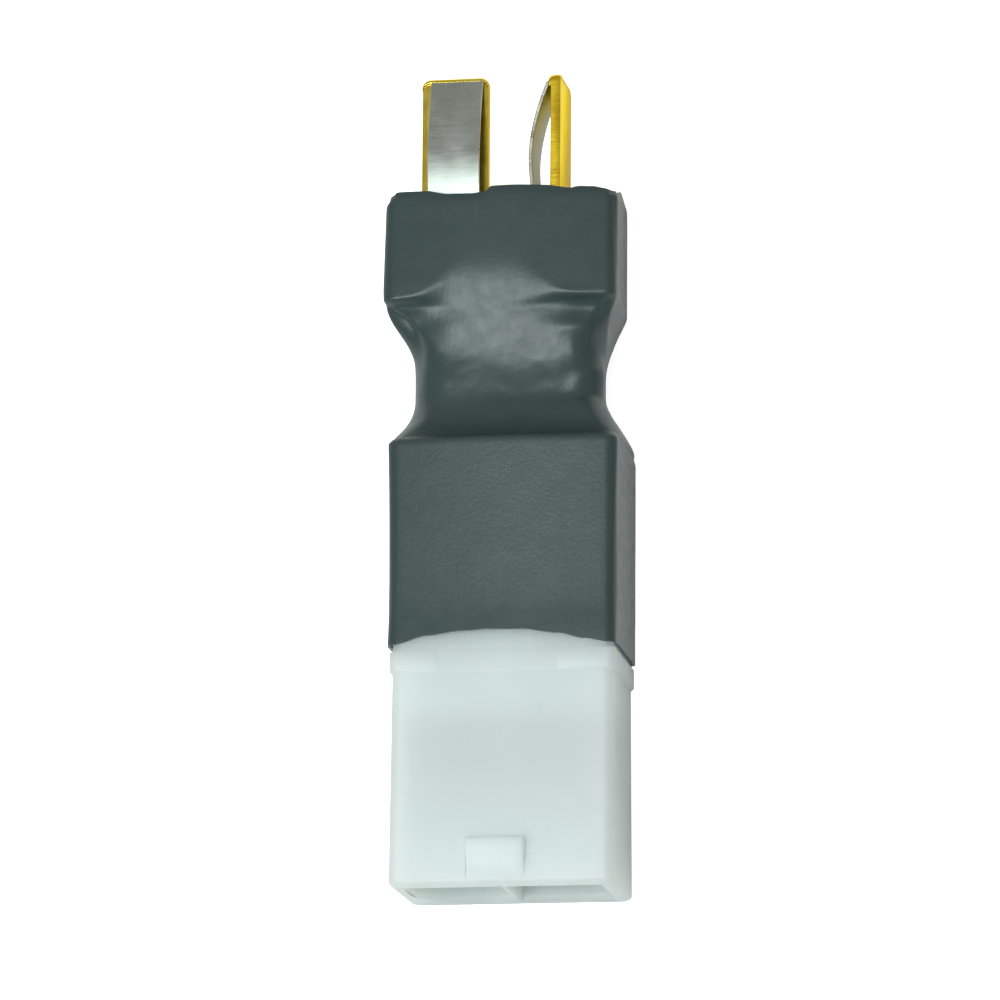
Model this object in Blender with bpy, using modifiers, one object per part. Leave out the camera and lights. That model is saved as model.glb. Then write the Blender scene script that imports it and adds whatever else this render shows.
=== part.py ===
"""Battery connector adapter: a two-blade plug wired to a two-way block socket under one heat-shrink sleeve.

The adapter lies on its back. +X is across it, +Y runs along it from the socket's mouth to the tips of the
blades, and +Z is up, out of its front. Z 0 is the surface it rests on, and X 0, Y 0 is the middle of its box.
Sizes are in metres. Places along the adapter are counted from the socket's mouth and turned to Y by along().
"""

import math

import bmesh
import bpy
from mathutils import Matrix, Vector

# Socket housing, moulded in natural nylon
HOUSING_LENGTH = 0.0330
HOUSING_WIDTH = 0.01684
HOUSING_DEPTH = 0.01016
HOUSING_EDGE_RADIUS = 0.00075
HOUSING_EDGE_BREAK = 0.00025
HOUSING_DRAFT = 0.0001
FLANGE_START = 0.0159
FLANGE_END = 0.0173
FLANGE_STEP = 0.0002
LATCH_SHIFT = -0.0003
LATCH_CHANNEL_WIDTH = 0.0090
LATCH_CHANNEL_RISE = 0.00003
RAMP_WIDTH = 0.0043
RAMP_START = 0.0004
RAMP_LAND_START = 0.0023
RAMP_LAND_END = 0.0033
RAMP_HEIGHT = 0.0008
CIRCUIT_PITCH = 0.0074
CAVITY_WIDTH = 0.0066
CAVITY_LENGTH = 0.0125
CAVITY_LEAD_IN = 0.00025
PARTITION_THICKNESS = 0.0026
CHAMBER_DIAMETER = 0.0052
RIDGE_DIAMETER = 0.0044
RIDGE_SET_BACK = 0.0026
RIDGE_LENGTH = 0.0012

# Male pin contacts, rolled from brass strip
PIN_DIAMETER = 0.0024
PIN_TIP_RECESS = 0.0056
PIN_WALL = 0.0003
PIN_HOLE_CLEARANCE = 0.0003
PIN_NOSE = 0.0009
BARREL_DIAMETER = 0.0032
BARREL_LENGTH = 0.0044
LANCE_LENGTH = 0.0019
LANCE_WIDTH = 0.0008
LANCE_CLEARANCE = 0.00025
NECK_LENGTH = 0.0008
CRIMP_LENGTH = 0.0036
CRIMP_WINDOW = 0.0009
GRIP_LENGTH = 0.0025
SEAM_WIDTH = 0.0002

# Wires
CONDUCTOR_DIAMETER = 0.0015
INSULATION_DIAMETER = 0.0030
WIRE_FIT = 0.00006
CONDUCTOR_TAIL = 0.0002
INSULATION_END_GAP = 0.0010

# Plug body, moulded in black nylon, and its two blades
BODY_WIDTH = 0.0165
BODY_DEPTH = 0.0082
BODY_LENGTH = 0.0082
BODY_EDGE_RADIUS = 0.0005
BODY_TO_HOUSING = 0.0111
BODY_SIDE_SHIFT = 0.00073
BLADE_SPACING = 0.0080
BLADE_WIDTH = 0.00505
BLADE_THICKNESS = 0.00075
BLADE_EXPOSED = 0.0101
BLADE_CORNER_RADIUS = 0.0006
BLADE_LIP_REACH = 0.00018
BLADE_LIP_DEPTH = 0.00014
BLADE_NOSE_DROP = 0.00026
RIGHT_BLADE_SET_BACK = 0.0005
TAB_WIDTH = 0.0034
TAB_LENGTH = 0.0050
TAB_CORNER_RADIUS = 0.0004
BLADE_FIT = 0.00006

# Leaf springs, bowed from silver-plated strip
LEAF_WIDTH = 0.00395
LEAF_THICKNESS = 0.00027
LEFT_LEAF_SHIFT = 0.00018
LEAF_CROWN = 0.00162
LEAF_CROWN_PLACE = 0.0033
LEAF_FOOT_DROP = 0.0006
LEAF_TIP_LIFT = 0.00027
LEAF_ROOT_DEPTH = 0.0020
LEAF_BEND_DEPTH = 0.0015
LEAF_FIT = 0.00006
LEAF_RELIEF_DEPTH = 0.00165

# Solder and the small tubes over the joints
SOLDER_COVER = 0.0002
SOLDER_LENGTH = 0.0040
SOLDER_WIDTH = 0.0027
JOINT_SLEEVE_BORE = 0.0043
JOINT_SLEEVE_WALL = 0.00035
JOINT_SLEEVE_SHIFT = 0.0007
JOINT_SLEEVE_OVERLAP = 0.0018
JOINT_SLEEVE_END_GAP = 0.0005

# Outer heat-shrink sleeve
SLEEVE_WALL = 0.00022
SLEEVE_GAP = 0.00006
SLEEVE_CORNER_RADIUS = 0.00085
HEM_GAP = 0.0002
HEM_RISE = 0.0010
SHOULDER_ROUND = 0.0004
WAIST_FALL = 0.0039
WAIST_RISE = 0.0053
WAIST_LEFT_RISE = 0.00425
WAIST_DIP = 0.0002
RIM_OVERHANG = 0.00015
RIM_CURL = 0.00018

# Facets
CORNER_STEPS = 5
TURN_STEPS = 20
LONG_SIDE_STEPS = 10
SHORT_SIDE_STEPS = 3

# Sections
SLEEVE_GROWTH = SLEEVE_GAP + SLEEVE_WALL
HOUSING_HALF_WIDTH = HOUSING_WIDTH / 2
HOUSING_HALF_DEPTH = HOUSING_DEPTH / 2
BLOCK_HALF_WIDTH = HOUSING_HALF_WIDTH - FLANGE_STEP + SLEEVE_GROWTH
BLOCK_HALF_DEPTH = HOUSING_HALF_DEPTH - FLANGE_STEP + SLEEVE_GROWTH
PLUG_HALF_WIDTH = BODY_WIDTH / 2 + SLEEVE_GROWTH
PLUG_HALF_DEPTH = BODY_DEPTH / 2 + SLEEVE_GROWTH
JOINT_SLEEVE_RADIUS = JOINT_SLEEVE_BORE / 2 + JOINT_SLEEVE_WALL
WAIST_RADIUS = JOINT_SLEEVE_RADIUS + SLEEVE_GROWTH

# Places along the adapter, from the socket's mouth
PARTITION_END = CAVITY_LENGTH + PARTITION_THICKNESS
BARREL_START = PARTITION_END + PIN_HOLE_CLEARANCE
BARREL_END = BARREL_START + BARREL_LENGTH
CRIMP_START = BARREL_END + NECK_LENGTH
CRIMP_END = CRIMP_START + CRIMP_LENGTH
GRIP_START = CRIMP_END + CRIMP_WINDOW
GRIP_END = GRIP_START + GRIP_LENGTH
BODY_START = HOUSING_LENGTH + BODY_TO_HOUSING
BODY_END = BODY_START + BODY_LENGTH
TOTAL_LENGTH = BODY_END + BLADE_EXPOSED
TAB_END = BODY_START - TAB_LENGTH
CONDUCTOR_END = TAB_END + SOLDER_LENGTH
INSULATION_END = TAB_END - INSULATION_END_GAP
SHOULDER = HOUSING_LENGTH + SLEEVE_GROWTH

# Where the two halves lie: both backs rest on Z 0, and the box is centred on X 0
HOUSING_X = (BODY_SIDE_SHIFT + PLUG_HALF_WIDTH - BLOCK_HALF_WIDTH) / 2
BODY_X = HOUSING_X - BODY_SIDE_SHIFT
HOUSING_Z = BLOCK_HALF_DEPTH
BODY_Z = PLUG_HALF_DEPTH

# The wire lies on the tab's outer face, and the small tube is centred on both
WIRE_LIFT = BLADE_THICKNESS / 2 + WIRE_FIT + CONDUCTOR_DIAMETER / 2

LEFT, RIGHT = -1, 1
SIDE_NAMES = {LEFT: "left", RIGHT: "right"}


def along(distance):
    """Y of a place that is this far from the socket's mouth."""
    return distance - TOTAL_LENGTH / 2


def clear_scene():
    for obj in list(bpy.data.objects):
        bpy.data.objects.remove(obj, do_unlink=True)


def make_collection(name, hidden=False):
    collection = bpy.data.collections.new(name)
    bpy.context.scene.collection.children.link(collection)
    collection.hide_render = hidden
    return collection


def make_material(name, color, roughness, metallic=0.0):
    material = bpy.data.materials.new(name)
    material.use_nodes = True
    shader = material.node_tree.nodes["Principled BSDF"]
    shader.inputs["Base Color"].default_value = (*color, 1.0)
    shader.inputs["Roughness"].default_value = roughness
    shader.inputs["Metallic"].default_value = metallic
    material.diffuse_color = (*color, 1.0)
    return material


def place(obj, material=None):
    """Puts a finished piece among the parts, or a piece without a material among the cutters."""
    if material is None:
        CUTTERS.objects.link(obj)
        obj.hide_render = True
        obj.display_type = "WIRE"
    else:
        PARTS.objects.link(obj)
        obj.data.materials.append(material)
    return obj


def mesh_object(name, bm, material=None):
    bmesh.ops.recalc_face_normals(bm, faces=bm.faces)
    mesh = bpy.data.meshes.new(name)
    bm.to_mesh(mesh)
    bm.free()
    mesh.shade_smooth()
    mesh.set_sharp_from_angle(angle=math.radians(35))
    return place(bpy.data.objects.new(name, mesh), material)


def boolean(obj, operation, other):
    modifier = obj.modifiers.new(other.name, "BOOLEAN")
    modifier.operation = operation
    modifier.object = other
    modifier.solver = "EXACT"


def box(name, low, high, material=None, edge_radius=0.0):
    """A box between two corners, its edges rounded where a radius is given."""
    low, high = Vector(low), Vector(high)
    bm = bmesh.new()
    bmesh.ops.create_cube(bm, size=1.0)
    bmesh.ops.scale(bm, vec=high - low, verts=bm.verts)
    bmesh.ops.translate(bm, vec=(high + low) / 2, verts=bm.verts)
    if edge_radius:
        bmesh.ops.bevel(
            bm, geom=bm.edges[:], offset=edge_radius, segments=3, profile=0.5, affect="EDGES"
        )
    return mesh_object(name, bm, material)


def rod(name, radius, start, end, x, z, material=None, steps=TURN_STEPS):
    """A round bar along Y."""
    bm = bmesh.new()
    bmesh.ops.create_cone(
        bm, cap_ends=True, segments=steps, radius1=radius, radius2=radius, depth=end - start
    )
    turn = Matrix.Rotation(math.radians(90), 4, "X")
    middle = Vector((x, along((start + end) / 2), z))
    bmesh.ops.transform(bm, matrix=Matrix.Translation(middle) @ turn, verts=bm.verts)
    return mesh_object(name, bm, material)


def plate(name, outline, half_thickness, matrix, material=None):
    """A flat outline given in its own plane, extruded both ways, and then put in place by matrix."""
    curve = bpy.data.curves.new(name, "CURVE")
    curve.dimensions = "2D"
    curve.fill_mode = "BOTH"
    curve.extrude = half_thickness
    spline = curve.splines.new("POLY")
    spline.points.add(len(outline) - 1)
    for point, (u, v) in zip(spline.points, outline):
        point.co = (u, v, 0.0, 1.0)
    spline.use_cyclic_u = True
    drawn = bpy.data.objects.new(name + "_outline", curve)
    bpy.context.scene.collection.objects.link(drawn)
    graph = bpy.context.evaluated_depsgraph_get()
    mesh = bpy.data.meshes.new_from_object(drawn.evaluated_get(graph))
    bpy.data.objects.remove(drawn, do_unlink=True)
    bm = bmesh.new()
    bm.from_mesh(mesh)
    bmesh.ops.remove_doubles(bm, verts=bm.verts, dist=1e-7)
    bmesh.ops.transform(bm, matrix=matrix, verts=bm.verts)
    return mesh_object(name, bm, material)


def turned(name, profile, x, z, material=None):
    """A profile of (radius, distance from the mouth) turned round an axis along Y.

    The profile runs from the blades' end to the mouth's end on its outer side, and back on its inner side."""
    bm = bmesh.new()
    points = [bm.verts.new((radius, 0.0, distance)) for radius, distance in profile]
    loop = points + points[:1] if profile[0][0] > 0 or profile[-1][0] > 0 else points
    for a, b in zip(loop, loop[1:]):
        bm.edges.new((a, b))
    mesh = bpy.data.meshes.new(name)
    bm.to_mesh(mesh)
    bm.free()
    spun = bpy.data.objects.new(name + "_profile", mesh)
    bpy.context.scene.collection.objects.link(spun)
    screw = spun.modifiers.new("turn", "SCREW")
    screw.steps = TURN_STEPS
    screw.render_steps = TURN_STEPS
    screw.use_merge_vertices = True
    screw.merge_threshold = 1e-6
    graph = bpy.context.evaluated_depsgraph_get()
    whole = bpy.data.meshes.new_from_object(spun.evaluated_get(graph))
    bpy.data.objects.remove(spun, do_unlink=True)
    bm = bmesh.new()
    bm.from_mesh(whole)
    bmesh.ops.remove_doubles(bm, verts=bm.verts, dist=1e-7)
    lay_down = Matrix.Rotation(math.radians(-90), 4, "X")
    bmesh.ops.transform(
        bm, matrix=Matrix.Translation((x, along(0.0), z)) @ lay_down, verts=bm.verts
    )
    return mesh_object(name, bm, material)


def arc(center, radius, start, end, steps):
    """Points round part of a circle, in degrees."""
    angles = [math.radians(start + (end - start) * i / steps) for i in range(steps + 1)]
    return [(center[0] + radius * math.cos(t), center[1] + radius * math.sin(t)) for t in angles]


def rounded_outline(half_width, half_height, radius, steps=CORNER_STEPS):
    """A rectangle with round corners, anticlockwise from its right side."""
    u, v = half_width - radius, half_height - radius
    corners = [((u, v), 0), ((-u, v), 90), ((-u, -v), 180), ((u, -v), 270)]
    return [p for middle, turn in corners for p in arc(middle, radius, turn, turn + 90, steps)]


def loft(name, rings, material=None, capped=True):
    """A surface through rings of points that lie along Y, closed at both ends unless it is to get a wall."""
    bm = bmesh.new()
    loops = [[bm.verts.new(p) for p in ring] for ring in rings]
    for near, far in zip(loops, loops[1:]):
        for i in range(len(near)):
            j = (i + 1) % len(near)
            bm.faces.new((near[i], far[i], far[j], near[j]))
    if capped:
        bm.faces.new(loops[0])
        bm.faces.new(loops[-1])
    bmesh.ops.remove_doubles(bm, verts=bm.verts, dist=1e-7)
    return mesh_object(name, bm, material)


def section_ring(half_width, half_depth, radius, distance, x, z):
    """One ring of a moulded block: a rounded rectangle across the adapter."""
    outline = rounded_outline(half_width, half_depth, radius)
    return [(x + u, along(distance), z + v) for u, v in outline]


def smooth(t):
    t = min(1.0, max(0.0, t))
    return t * t * (3 - 2 * t)


def mix(a, b, t):
    return a + (b - a) * t


def circuit_x(side):
    return HOUSING_X + side * CIRCUIT_PITCH / 2


def blade_x(side):
    return BODY_X + side * BLADE_SPACING / 2


def blade_end(side):
    """How far the tip of a blade is from the mouth: the right one is pressed in a little further."""
    return BODY_END + BLADE_EXPOSED - (RIGHT_BLADE_SET_BACK if side == RIGHT else 0.0)


def blade_frame(side):
    """Turns (across the blade, along the adapter, out of the leaf's face) into the adapter's own axes.

    The left blade lies flat with its leaf up, and the right one stands on edge with its leaf to the left."""
    if side == LEFT:
        across, out = Vector((1, 0, 0)), Vector((0, 0, 1))
    else:
        across, out = Vector((0, 0, 1)), Vector((-1, 0, 0))
    frame = Matrix.Identity(4)
    frame.col[0].xyz = across
    frame.col[1].xyz = (0, 1, 0)
    frame.col[2].xyz = out
    frame.col[3].xyz = (blade_x(side), along(0.0), BODY_Z)
    return frame


def wire_center(side, distance):
    """The wire's centre: in line with its pin in the housing, and bent over to its tab in the waist."""
    lift = WIRE_LIFT if side == LEFT else 0.0
    out = 0.0 if side == LEFT else WIRE_LIFT
    t = smooth((distance - GRIP_END) / (INSULATION_END - GRIP_END))
    x = mix(circuit_x(side), blade_x(side) + out, t)
    z = mix(HOUSING_Z, BODY_Z + lift, t)
    return Vector((x, along(distance), z))


def wire(name, side, radius, start, end, material=None):
    """A round wire along its route, as a mesh, so that it can be cut."""
    curve = bpy.data.curves.new(name, "CURVE")
    curve.dimensions = "3D"
    curve.bevel_depth = radius
    curve.bevel_resolution = 2
    curve.use_fill_caps = True
    count = 14
    spline = curve.splines.new("POLY")
    spline.points.add(count)
    for i, point in enumerate(spline.points):
        point.co = (*wire_center(side, mix(start, end, i / count)), 1.0)
    drawn = bpy.data.objects.new(name + "_route", curve)
    bpy.context.scene.collection.objects.link(drawn)
    graph = bpy.context.evaluated_depsgraph_get()
    mesh = bpy.data.meshes.new_from_object(drawn.evaluated_get(graph))
    bpy.data.objects.remove(drawn, do_unlink=True)
    bm = bmesh.new()
    bm.from_mesh(mesh)
    bmesh.ops.remove_doubles(bm, verts=bm.verts, dist=1e-7)
    return mesh_object(name, bm, material)


def cavity_outline(side, growth):
    """The left cavity is D-shaped with its round side to the back, and the right one is square."""
    half = CAVITY_WIDTH / 2 + growth
    if side == RIGHT:
        return [(half, half), (-half, half), (-half, -half), (half, -half)]
    return [(half, half), (-half, half), *arc((0.0, 0.0), half, 180, 360, 12)]


def make_housing(material):
    mouth = HOUSING_DRAFT - FLANGE_STEP
    stations = [
        (0.0, mouth - HOUSING_EDGE_BREAK),
        (HOUSING_EDGE_BREAK, mouth),
        (FLANGE_START - FLANGE_STEP, -FLANGE_STEP),
        (FLANGE_START, 0.0),
        (FLANGE_END, 0.0),
        (FLANGE_END + FLANGE_STEP, -FLANGE_STEP),
        (HOUSING_LENGTH - HOUSING_EDGE_BREAK, -FLANGE_STEP),
        (HOUSING_LENGTH, -FLANGE_STEP - HOUSING_EDGE_BREAK),
    ]
    rings = [
        section_ring(
            HOUSING_HALF_WIDTH + growth,
            HOUSING_HALF_DEPTH + growth,
            HOUSING_EDGE_RADIUS,
            distance,
            HOUSING_X,
            HOUSING_Z,
        )
        for distance, growth in stations
    ]
    housing = loft("socket_housing", rings, material)

    top = HOUSING_Z + HOUSING_HALF_DEPTH
    latch_x = HOUSING_X + LATCH_SHIFT
    floor = top - FLANGE_STEP + LATCH_CHANNEL_RISE
    half = LATCH_CHANNEL_WIDTH / 2
    channel = box(
        "latch_channel_cutter",
        (latch_x - half, along(FLANGE_START - HOUSING_EDGE_BREAK), floor),
        (latch_x + half, along(FLANGE_END + HOUSING_EDGE_BREAK), top + RAMP_HEIGHT),
    )
    boolean(housing, "DIFFERENCE", channel)

    foot = top - HOUSING_EDGE_RADIUS / 2
    crest = top + mouth + RAMP_HEIGHT
    outline = [
        (RAMP_START, foot),
        (RAMP_START, top + mouth - HOUSING_EDGE_BREAK / 2),
        (RAMP_LAND_START, crest),
        (RAMP_LAND_END, crest),
        (RAMP_LAND_END + HOUSING_EDGE_BREAK, foot),
    ]
    upright = Matrix(((0, 0, 1, latch_x), (1, 0, 0, along(0.0)), (0, 1, 0, 0), (0, 0, 0, 1)))
    ramp = plate("latch_ramp_form", outline, RAMP_WIDTH / 2, upright)
    boolean(housing, "UNION", ramp)

    for side, word in SIDE_NAMES.items():
        x = circuit_x(side)
        depths = [
            (-HOUSING_EDGE_RADIUS, CAVITY_LEAD_IN),
            (0.0, CAVITY_LEAD_IN),
            (2 * CAVITY_LEAD_IN, 0.0),
            (CAVITY_LENGTH, 0.0),
        ]
        rings = [
            [(x + u, along(distance), HOUSING_Z + v) for u, v in cavity_outline(side, growth)]
            for distance, growth in depths
        ]
        boolean(housing, "DIFFERENCE", loft(f"{word}_cavity_cutter", rings))
        hole = PIN_DIAMETER / 2 + PIN_HOLE_CLEARANCE
        ridge_start = PARTITION_END + RIDGE_SET_BACK
        ridge_end = ridge_start + RIDGE_LENGTH
        chamber = CHAMBER_DIAMETER / 2
        ridge = RIDGE_DIAMETER / 2
        beyond = HOUSING_LENGTH + HOUSING_EDGE_RADIUS
        profile = [
            (0.0, beyond),
            (chamber, beyond),
            (chamber, ridge_end + chamber - ridge),
            (ridge, ridge_end),
            (ridge, ridge_start),
            (chamber, ridge_start),
            (chamber, PARTITION_END),
            (hole, PARTITION_END),
            (hole, CAVITY_LENGTH - PARTITION_THICKNESS / 2),
            (0.0, CAVITY_LENGTH - PARTITION_THICKNESS / 2),
        ]
        boolean(housing, "DIFFERENCE", turned(f"{word}_chamber_cutter", profile, x, HOUSING_Z))


def make_pin(side, material):
    """A pin contact: a round-nosed pin, a barrel that stops at the partition, lances, and two crimped grips."""
    word = SIDE_NAMES[side]
    x, z = circuit_x(side), HOUSING_Z
    pin, barrel = PIN_DIAMETER / 2, BARREL_DIAMETER / 2
    crimp = CONDUCTOR_DIAMETER / 2 + WIRE_FIT + PIN_WALL
    grip = INSULATION_DIAMETER / 2 + WIRE_FIT + PIN_WALL
    outer = [
        (grip, GRIP_END),
        (grip, GRIP_START),
        (crimp, CRIMP_END),
        (crimp, CRIMP_START),
        (barrel, BARREL_END),
        (barrel, BARREL_START + PIN_WALL),
        (barrel - PIN_WALL, BARREL_START),
        (pin, BARREL_START),
        (pin, PIN_TIP_RECESS + PIN_NOSE),
        (pin * 0.86, PIN_TIP_RECESS + PIN_NOSE * 0.45),
        (pin * 0.5, PIN_TIP_RECESS + PIN_NOSE * 0.1),
        (0.0, PIN_TIP_RECESS),
    ]
    inner = [
        (0.0, PIN_TIP_RECESS + PIN_WALL),
        (pin - PIN_WALL, PIN_TIP_RECESS + PIN_NOSE),
        (pin - PIN_WALL, BARREL_START + PIN_WALL),
        (barrel - PIN_WALL, BARREL_START + 2 * PIN_WALL),
        (barrel - PIN_WALL, BARREL_END),
        (crimp - PIN_WALL, CRIMP_START),
        (crimp - PIN_WALL, CRIMP_END),
        (grip - PIN_WALL, GRIP_START),
        (grip - PIN_WALL, GRIP_END),
    ]
    contact = turned(f"{word}_pin_contact", outer + inner, x, z, material)

    reach = grip + PIN_WALL
    seam = box(
        f"{word}_seam_cutter",
        (x - SEAM_WIDTH / 2, along(PIN_TIP_RECESS + PIN_NOSE), z - reach),
        (x + SEAM_WIDTH / 2, along(GRIP_END) + PIN_WALL, z),
    )
    boolean(contact, "DIFFERENCE", seam)
    for name, start, end in (
        ("neck", BARREL_END, CRIMP_START),
        ("window", CRIMP_END, GRIP_START),
    ):
        opening = box(
            f"{word}_{name}_cutter",
            (x - reach, along(start), z - PIN_WALL),
            (x + reach, along(end), z + reach),
        )
        boolean(contact, "DIFFERENCE", opening)

    lance_reach = CHAMBER_DIAMETER / 2 - LANCE_CLEARANCE
    lance_end = BARREL_START + RIDGE_SET_BACK - PIN_HOLE_CLEARANCE - LANCE_CLEARANCE
    outline = [
        (lance_end - LANCE_LENGTH, barrel - 0.8 * PIN_WALL),
        (lance_end, barrel - 0.8 * PIN_WALL),
        (lance_end, lance_reach),
        (lance_end - PIN_WALL, lance_reach),
    ]
    for name, turn in (("inner", -side), ("outer", side)):
        frame = Matrix(((0, turn, 0, x), (1, 0, 0, along(0.0)), (0, 0, 1, z), (0, 0, 0, 1)))
        lance = plate(f"{word}_{name}_lance_form", outline, LANCE_WIDTH / 2, frame)
        boolean(contact, "UNION", lance)


def make_wire(side, conductor_material, insulation_material):
    word = SIDE_NAMES[side]
    radius = CONDUCTOR_DIAMETER / 2
    wire(f"{word}_wire_conductor", side, radius, CRIMP_START + CONDUCTOR_TAIL, CONDUCTOR_END, conductor_material)
    start = GRIP_START + CONDUCTOR_TAIL
    insulation = wire(
        f"{word}_wire_insulation", side, INSULATION_DIAMETER / 2, start, INSULATION_END, insulation_material
    )
    bore = wire(
        f"{word}_wire_bore_cutter", side, radius + WIRE_FIT, start - CRIMP_WINDOW, INSULATION_END + CRIMP_WINDOW
    )
    boolean(insulation, "DIFFERENCE", bore)


def round_corner(u, half_width, radius):
    """How much shorter a round-cornered end is at u than it is in the middle."""
    into = max(0.0, abs(u) - (half_width - radius))
    return radius - math.sqrt(max(0.0, radius**2 - into**2))


def blade_stations(side):
    """Places across the blade, each with how far its tip and its back end are from the mouth.

    The blade is at its full width in the body, and its solder tab is narrower, so both tab edges come twice."""
    half, tab = BLADE_WIDTH / 2, TAB_WIDTH / 2
    r, t = BLADE_CORNER_RADIUS, TAB_CORNER_RADIUS
    corners = arc((half - r, 0.0), r, 0, 90, CORNER_STEPS) + arc((tab - t, 0.0), t, 0, 90, CORNER_STEPS)
    places = sorted((u for u, _ in corners), reverse=True)
    shoulder = BODY_START + BLADE_FIT
    outer = [(u, shoulder) for u in places if u > tab] + [(tab, shoulder)]
    inner = [(tab, TAB_END + t)] + [(u, TAB_END + round_corner(u, tab, t)) for u in places if u < tab]
    tip = blade_end(side)
    stations = [(u, tip - round_corner(u, half, r), back) for u, back in outer + inner]
    return stations + [(-u, tip_end, back) for u, tip_end, back in reversed(stations)]


def blade_profile(side, tip, back):
    """The blade's edge in (out of its leaf face, along): the tip is rolled over to a lip for the leaf's end."""
    half = BLADE_THICKNESS / 2
    lip = half + BLADE_LIP_REACH
    drop = BLADE_NOSE_DROP
    edge = drop / 2
    shoulder = BODY_START + BLADE_FIT
    nose = [(lip * u, tip - drop + drop * v) for u, v in arc((0.0, 0.0), 1.0, 90, 0, CORNER_STEPS)]
    return [
        (-half, back),
        (-half, shoulder),
        *arc((edge - half, tip - edge), edge, 180, 90, 3),
        *nose,
        (lip, tip - drop - BLADE_LIP_DEPTH),
        (half, tip - drop - BLADE_LIP_DEPTH),
        (half, shoulder),
        (half, back),
    ]


def make_blade(side, material):
    frame = blade_frame(side)
    rings = [
        [frame @ Vector((across, distance, out)) for out, distance in blade_profile(side, tip, back)]
        for across, tip, back in blade_stations(side)
    ]
    loft(f"{SIDE_NAMES[side]}_blade", rings, material)


def leaf_lift(side, distance):
    """How far the leaf's middle is off the blade's face, at a place along the blade.

    It bows over its crown, passes the body's end face still well off the blade, and bends down to it inside."""
    crown = BODY_END + LEAF_CROWN_PLACE
    if distance >= crown:
        t = (distance - crown) / (leaf_tip(side) - crown)
        return mix(LEAF_CROWN, LEAF_TIP_LIFT, t**1.8)
    bow = LEAF_CROWN - LEAF_FOOT_DROP * ((crown - distance) / LEAF_CROWN_PLACE) ** 1.9
    seat = LEAF_FIT + LEAF_THICKNESS / 2
    return mix(bow, seat, smooth((BODY_END - distance) / LEAF_BEND_DEPTH))


def leaf_shift(side):
    """The left leaf lies a little to the right of its blade's middle."""
    return LEFT_LEAF_SHIFT if side == LEFT else 0.0


def leaf_tip(side):
    return blade_end(side) - BLADE_NOSE_DROP - BLADE_LIP_DEPTH - LEAF_FIT


def leaf_points(side, count=36):
    """The leaf's middle line in (off the blade, along the adapter), with its bends eased."""
    start, end = BODY_END - LEAF_ROOT_DEPTH, leaf_tip(side)
    places = [mix(start, end, i / count) for i in range(count + 1)]
    points = [Vector((leaf_lift(side, a), a)) for a in places]
    for _ in range(2):
        inner = [(a + 2 * b + c) / 4 for a, b, c in zip(points, points[1:], points[2:])]
        points = [points[0], *inner, points[-1]]
    return points


def make_leaf(side, material):
    """A bowed strip: its root is held in the body beside the blade, and its tip sits under the blade's lip."""
    points = leaf_points(side)
    slopes = [b - a for a, b in zip(points, points[1:])]
    slopes = [slopes[0], *[(a + b) / 2 for a, b in zip(slopes, slopes[1:])], slopes[-1]]
    half = LEAF_THICKNESS / 2
    inner, outer = [], []
    for point, slope in zip(points, slopes):
        normal = Vector((-slope.y, slope.x)).normalized() * half
        inner.append(point + normal)
        outer.append(point - normal)
    face = BLADE_THICKNESS / 2
    outline = [(-(face + p.x), p.y) for p in inner + outer[::-1]]
    shift = leaf_shift(side)
    on_edge = blade_frame(side) @ Matrix(((0, 0, 1, shift), (0, 1, 0, 0), (-1, 0, 0, 0), (0, 0, 0, 1)))
    plate(f"{SIDE_NAMES[side]}_leaf_spring", outline, LEAF_WIDTH / 2, on_edge, material)


def make_body(material):
    """The plug's body. Each blade has a through slot, with a pocket beside it for the root of its leaf.

    A relief in the end face leaves room for the leaf's bow and its bend, so that it can be pressed flat."""
    body = box(
        "plug_body",
        (BODY_X - BODY_WIDTH / 2, along(BODY_START), BODY_Z - BODY_DEPTH / 2),
        (BODY_X + BODY_WIDTH / 2, along(BODY_END), BODY_Z + BODY_DEPTH / 2),
        material,
        BODY_EDGE_RADIUS,
    )
    half = BLADE_THICKNESS / 2
    for side, word in SIDE_NAMES.items():
        frame = blade_frame(side)
        shift = leaf_shift(side)
        width = BLADE_WIDTH / 2 + BLADE_FIT
        slot = box(
            f"{word}_blade_slot_cutter",
            (-width, BODY_START - BODY_EDGE_RADIUS, -half - BLADE_FIT),
            (width, BODY_END + BODY_EDGE_RADIUS, half + BLADE_FIT),
        )
        leaf_side = half + 2 * LEAF_FIT + LEAF_THICKNESS
        width = LEAF_WIDTH / 2 + LEAF_FIT
        pocket = box(
            f"{word}_leaf_pocket_cutter",
            (shift - width, BODY_END - LEAF_ROOT_DEPTH - LEAF_FIT, half),
            (shift + width, BODY_END + BODY_EDGE_RADIUS, leaf_side),
        )
        width += LEAF_FIT
        relief = box(
            f"{word}_leaf_relief_cutter",
            (shift - width, BODY_END - LEAF_RELIEF_DEPTH, half + BLADE_FIT / 2),
            (shift + width, BODY_END + BODY_LENGTH, half + LEAF_CROWN + LEAF_THICKNESS / 2 + LEAF_FIT),
        )
        for cutter in (slot, pocket, relief):
            cutter.data.transform(frame)
            boolean(body, "DIFFERENCE", cutter)


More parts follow.
